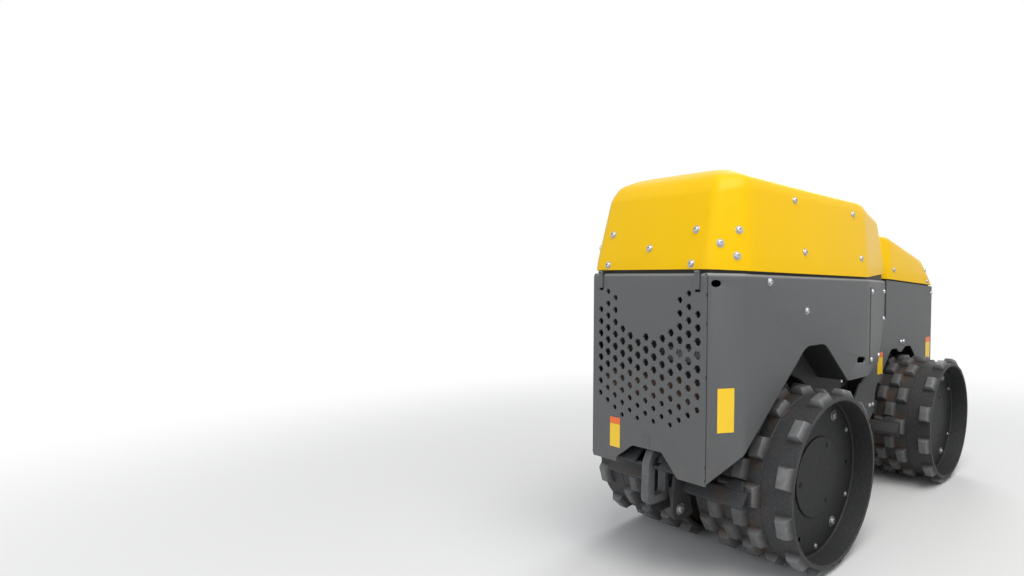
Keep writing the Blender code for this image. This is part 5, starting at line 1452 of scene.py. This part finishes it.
print("colour plates on the grille and the tank half:", len(GRILLE_MARKERS), "and", 4 * len(TANK_MARKERS))

# %% [markdown]
# ## Floor, backdrop and light
# The studio is a pale floor that keeps its soft shadow near the machine and fades into a white
# backdrop farther out. The camera sees the world as white; the light that the machine receives
# comes from a dimmer grey world and three large soft lamps.

# %% Floor
PALE, WHITE = (0.80, 0.80, 0.80, 1.0), (1.0, 1.0, 1.0, 1.0)
FADE_FROM, FADE_TO = 1.3, 4.2
FLOOR_R = 40.0


def seen_rays(tree):
    """1 for rays that show the background: straight to the camera, mirrored, or through glass."""
    rays = node(tree, "ShaderNodeLightPath").outputs
    mirrored = calc(tree, "MAXIMUM", rays["Is Glossy Ray"], rays["Is Transmission Ray"])
    return calc(tree, "MAXIMUM", rays["Is Camera Ray"], mirrored)


def show(tree, output, share, shader, white):
    """Ends a tree with a shader that gives way to white by a share."""
    mixed = node(tree, "ShaderNodeMixShader", _0=share, _1=shader.outputs[0], _2=white.outputs[0])
    node(tree, output, Surface=mixed.outputs[0])


def floor_finish():
    material = bpy.data.materials.new("studio_floor")
    material.use_nodes = True
    tree = material.node_tree
    tree.nodes.clear()
    place = node(tree, "ShaderNodeTexCoord").outputs["Object"]
    away = node(tree, "ShaderNodeVectorMath", {"operation": "LENGTH"}, _0=place).outputs["Value"]
    share = calc(tree, "MULTIPLY", spread(tree, away, FADE_FROM, FADE_TO), seen_rays(tree))
    near = node(tree, "ShaderNodeBsdfDiffuse", Color=PALE)
    far = node(tree, "ShaderNodeEmission", Color=WHITE, Strength=1.0)
    show(tree, "ShaderNodeOutputMaterial", share, near, far)
    return material


bm = bmesh.new()
bmesh.ops.create_circle(bm, cap_ends=True, segments=ROUND_STEPS, radius=FLOOR_R)
floor = from_bmesh("studio_floor", bm)
if floor.data.polygons[0].normal.z < 0:
    floor.data.flip_normals()
floor.data.materials.append(floor_finish())
floor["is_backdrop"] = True
print("floor fades from", FADE_FROM, "to", FADE_TO, "m")

# %% Backdrop and lamps
WORLD_LIGHT, WORLD_STRENGTH = (0.80, 0.82, 0.85, 1.0), 0.55
# Name, place, aim, size, power in watts and tint.
LAMPS = [("key_light", (1.6, 2.2, 4.8), (0.2, 0.0, 0.5), (3.6, 3.0), 184.0, (1.0, 0.985, 0.96)),
         ("end_light", (5.2, 0.4, 2.2), (0.4, 0.0, 0.6), (2.6, 2.4), 36.0, (0.96, 0.98, 1.0)),
         ("rear_light", (-4.6, -2.2, 3.6), (-0.3, 0.0, 0.6), (3.0, 2.0), 100.0, (1.0, 1.0, 1.0))]


def backdrop():
    scene.world = bpy.data.worlds.new("studio")
    scene.world.use_nodes = True
    tree = scene.world.node_tree
    tree.nodes.clear()
    soft = node(tree, "ShaderNodeBackground", Color=WORLD_LIGHT, Strength=WORLD_STRENGTH)
    white = node(tree, "ShaderNodeBackground", Color=WHITE, Strength=1.0)
    show(tree, "ShaderNodeOutputWorld", seen_rays(tree), soft, white)


def soft_light(name, at, aim, size, power, tint):
    lamp = bpy.data.lights.new(name, "AREA")
    lamp.shape = "RECTANGLE"
    lamp.size, lamp.size_y = size
    lamp.energy = power
    lamp.color = tint
    holder = linked(name, lamp)
    holder.location = at
    holder.rotation_euler = (Vector(aim) - Vector(at)).to_track_quat("-Z", "Y").to_euler()


backdrop()
for lamp in LAMPS:
    soft_light(*lamp)
print("studio lit by", len(LAMPS), "lamps")

LOW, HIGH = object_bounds()
sizes = {"cad": [list(CAD_LOW), list(CAD_HIGH)], "visual": [list(LOW), list(HIGH)]}
print("visual box", [round(v, 4) for v in LOW], [round(v, 4) for v in HIGH])
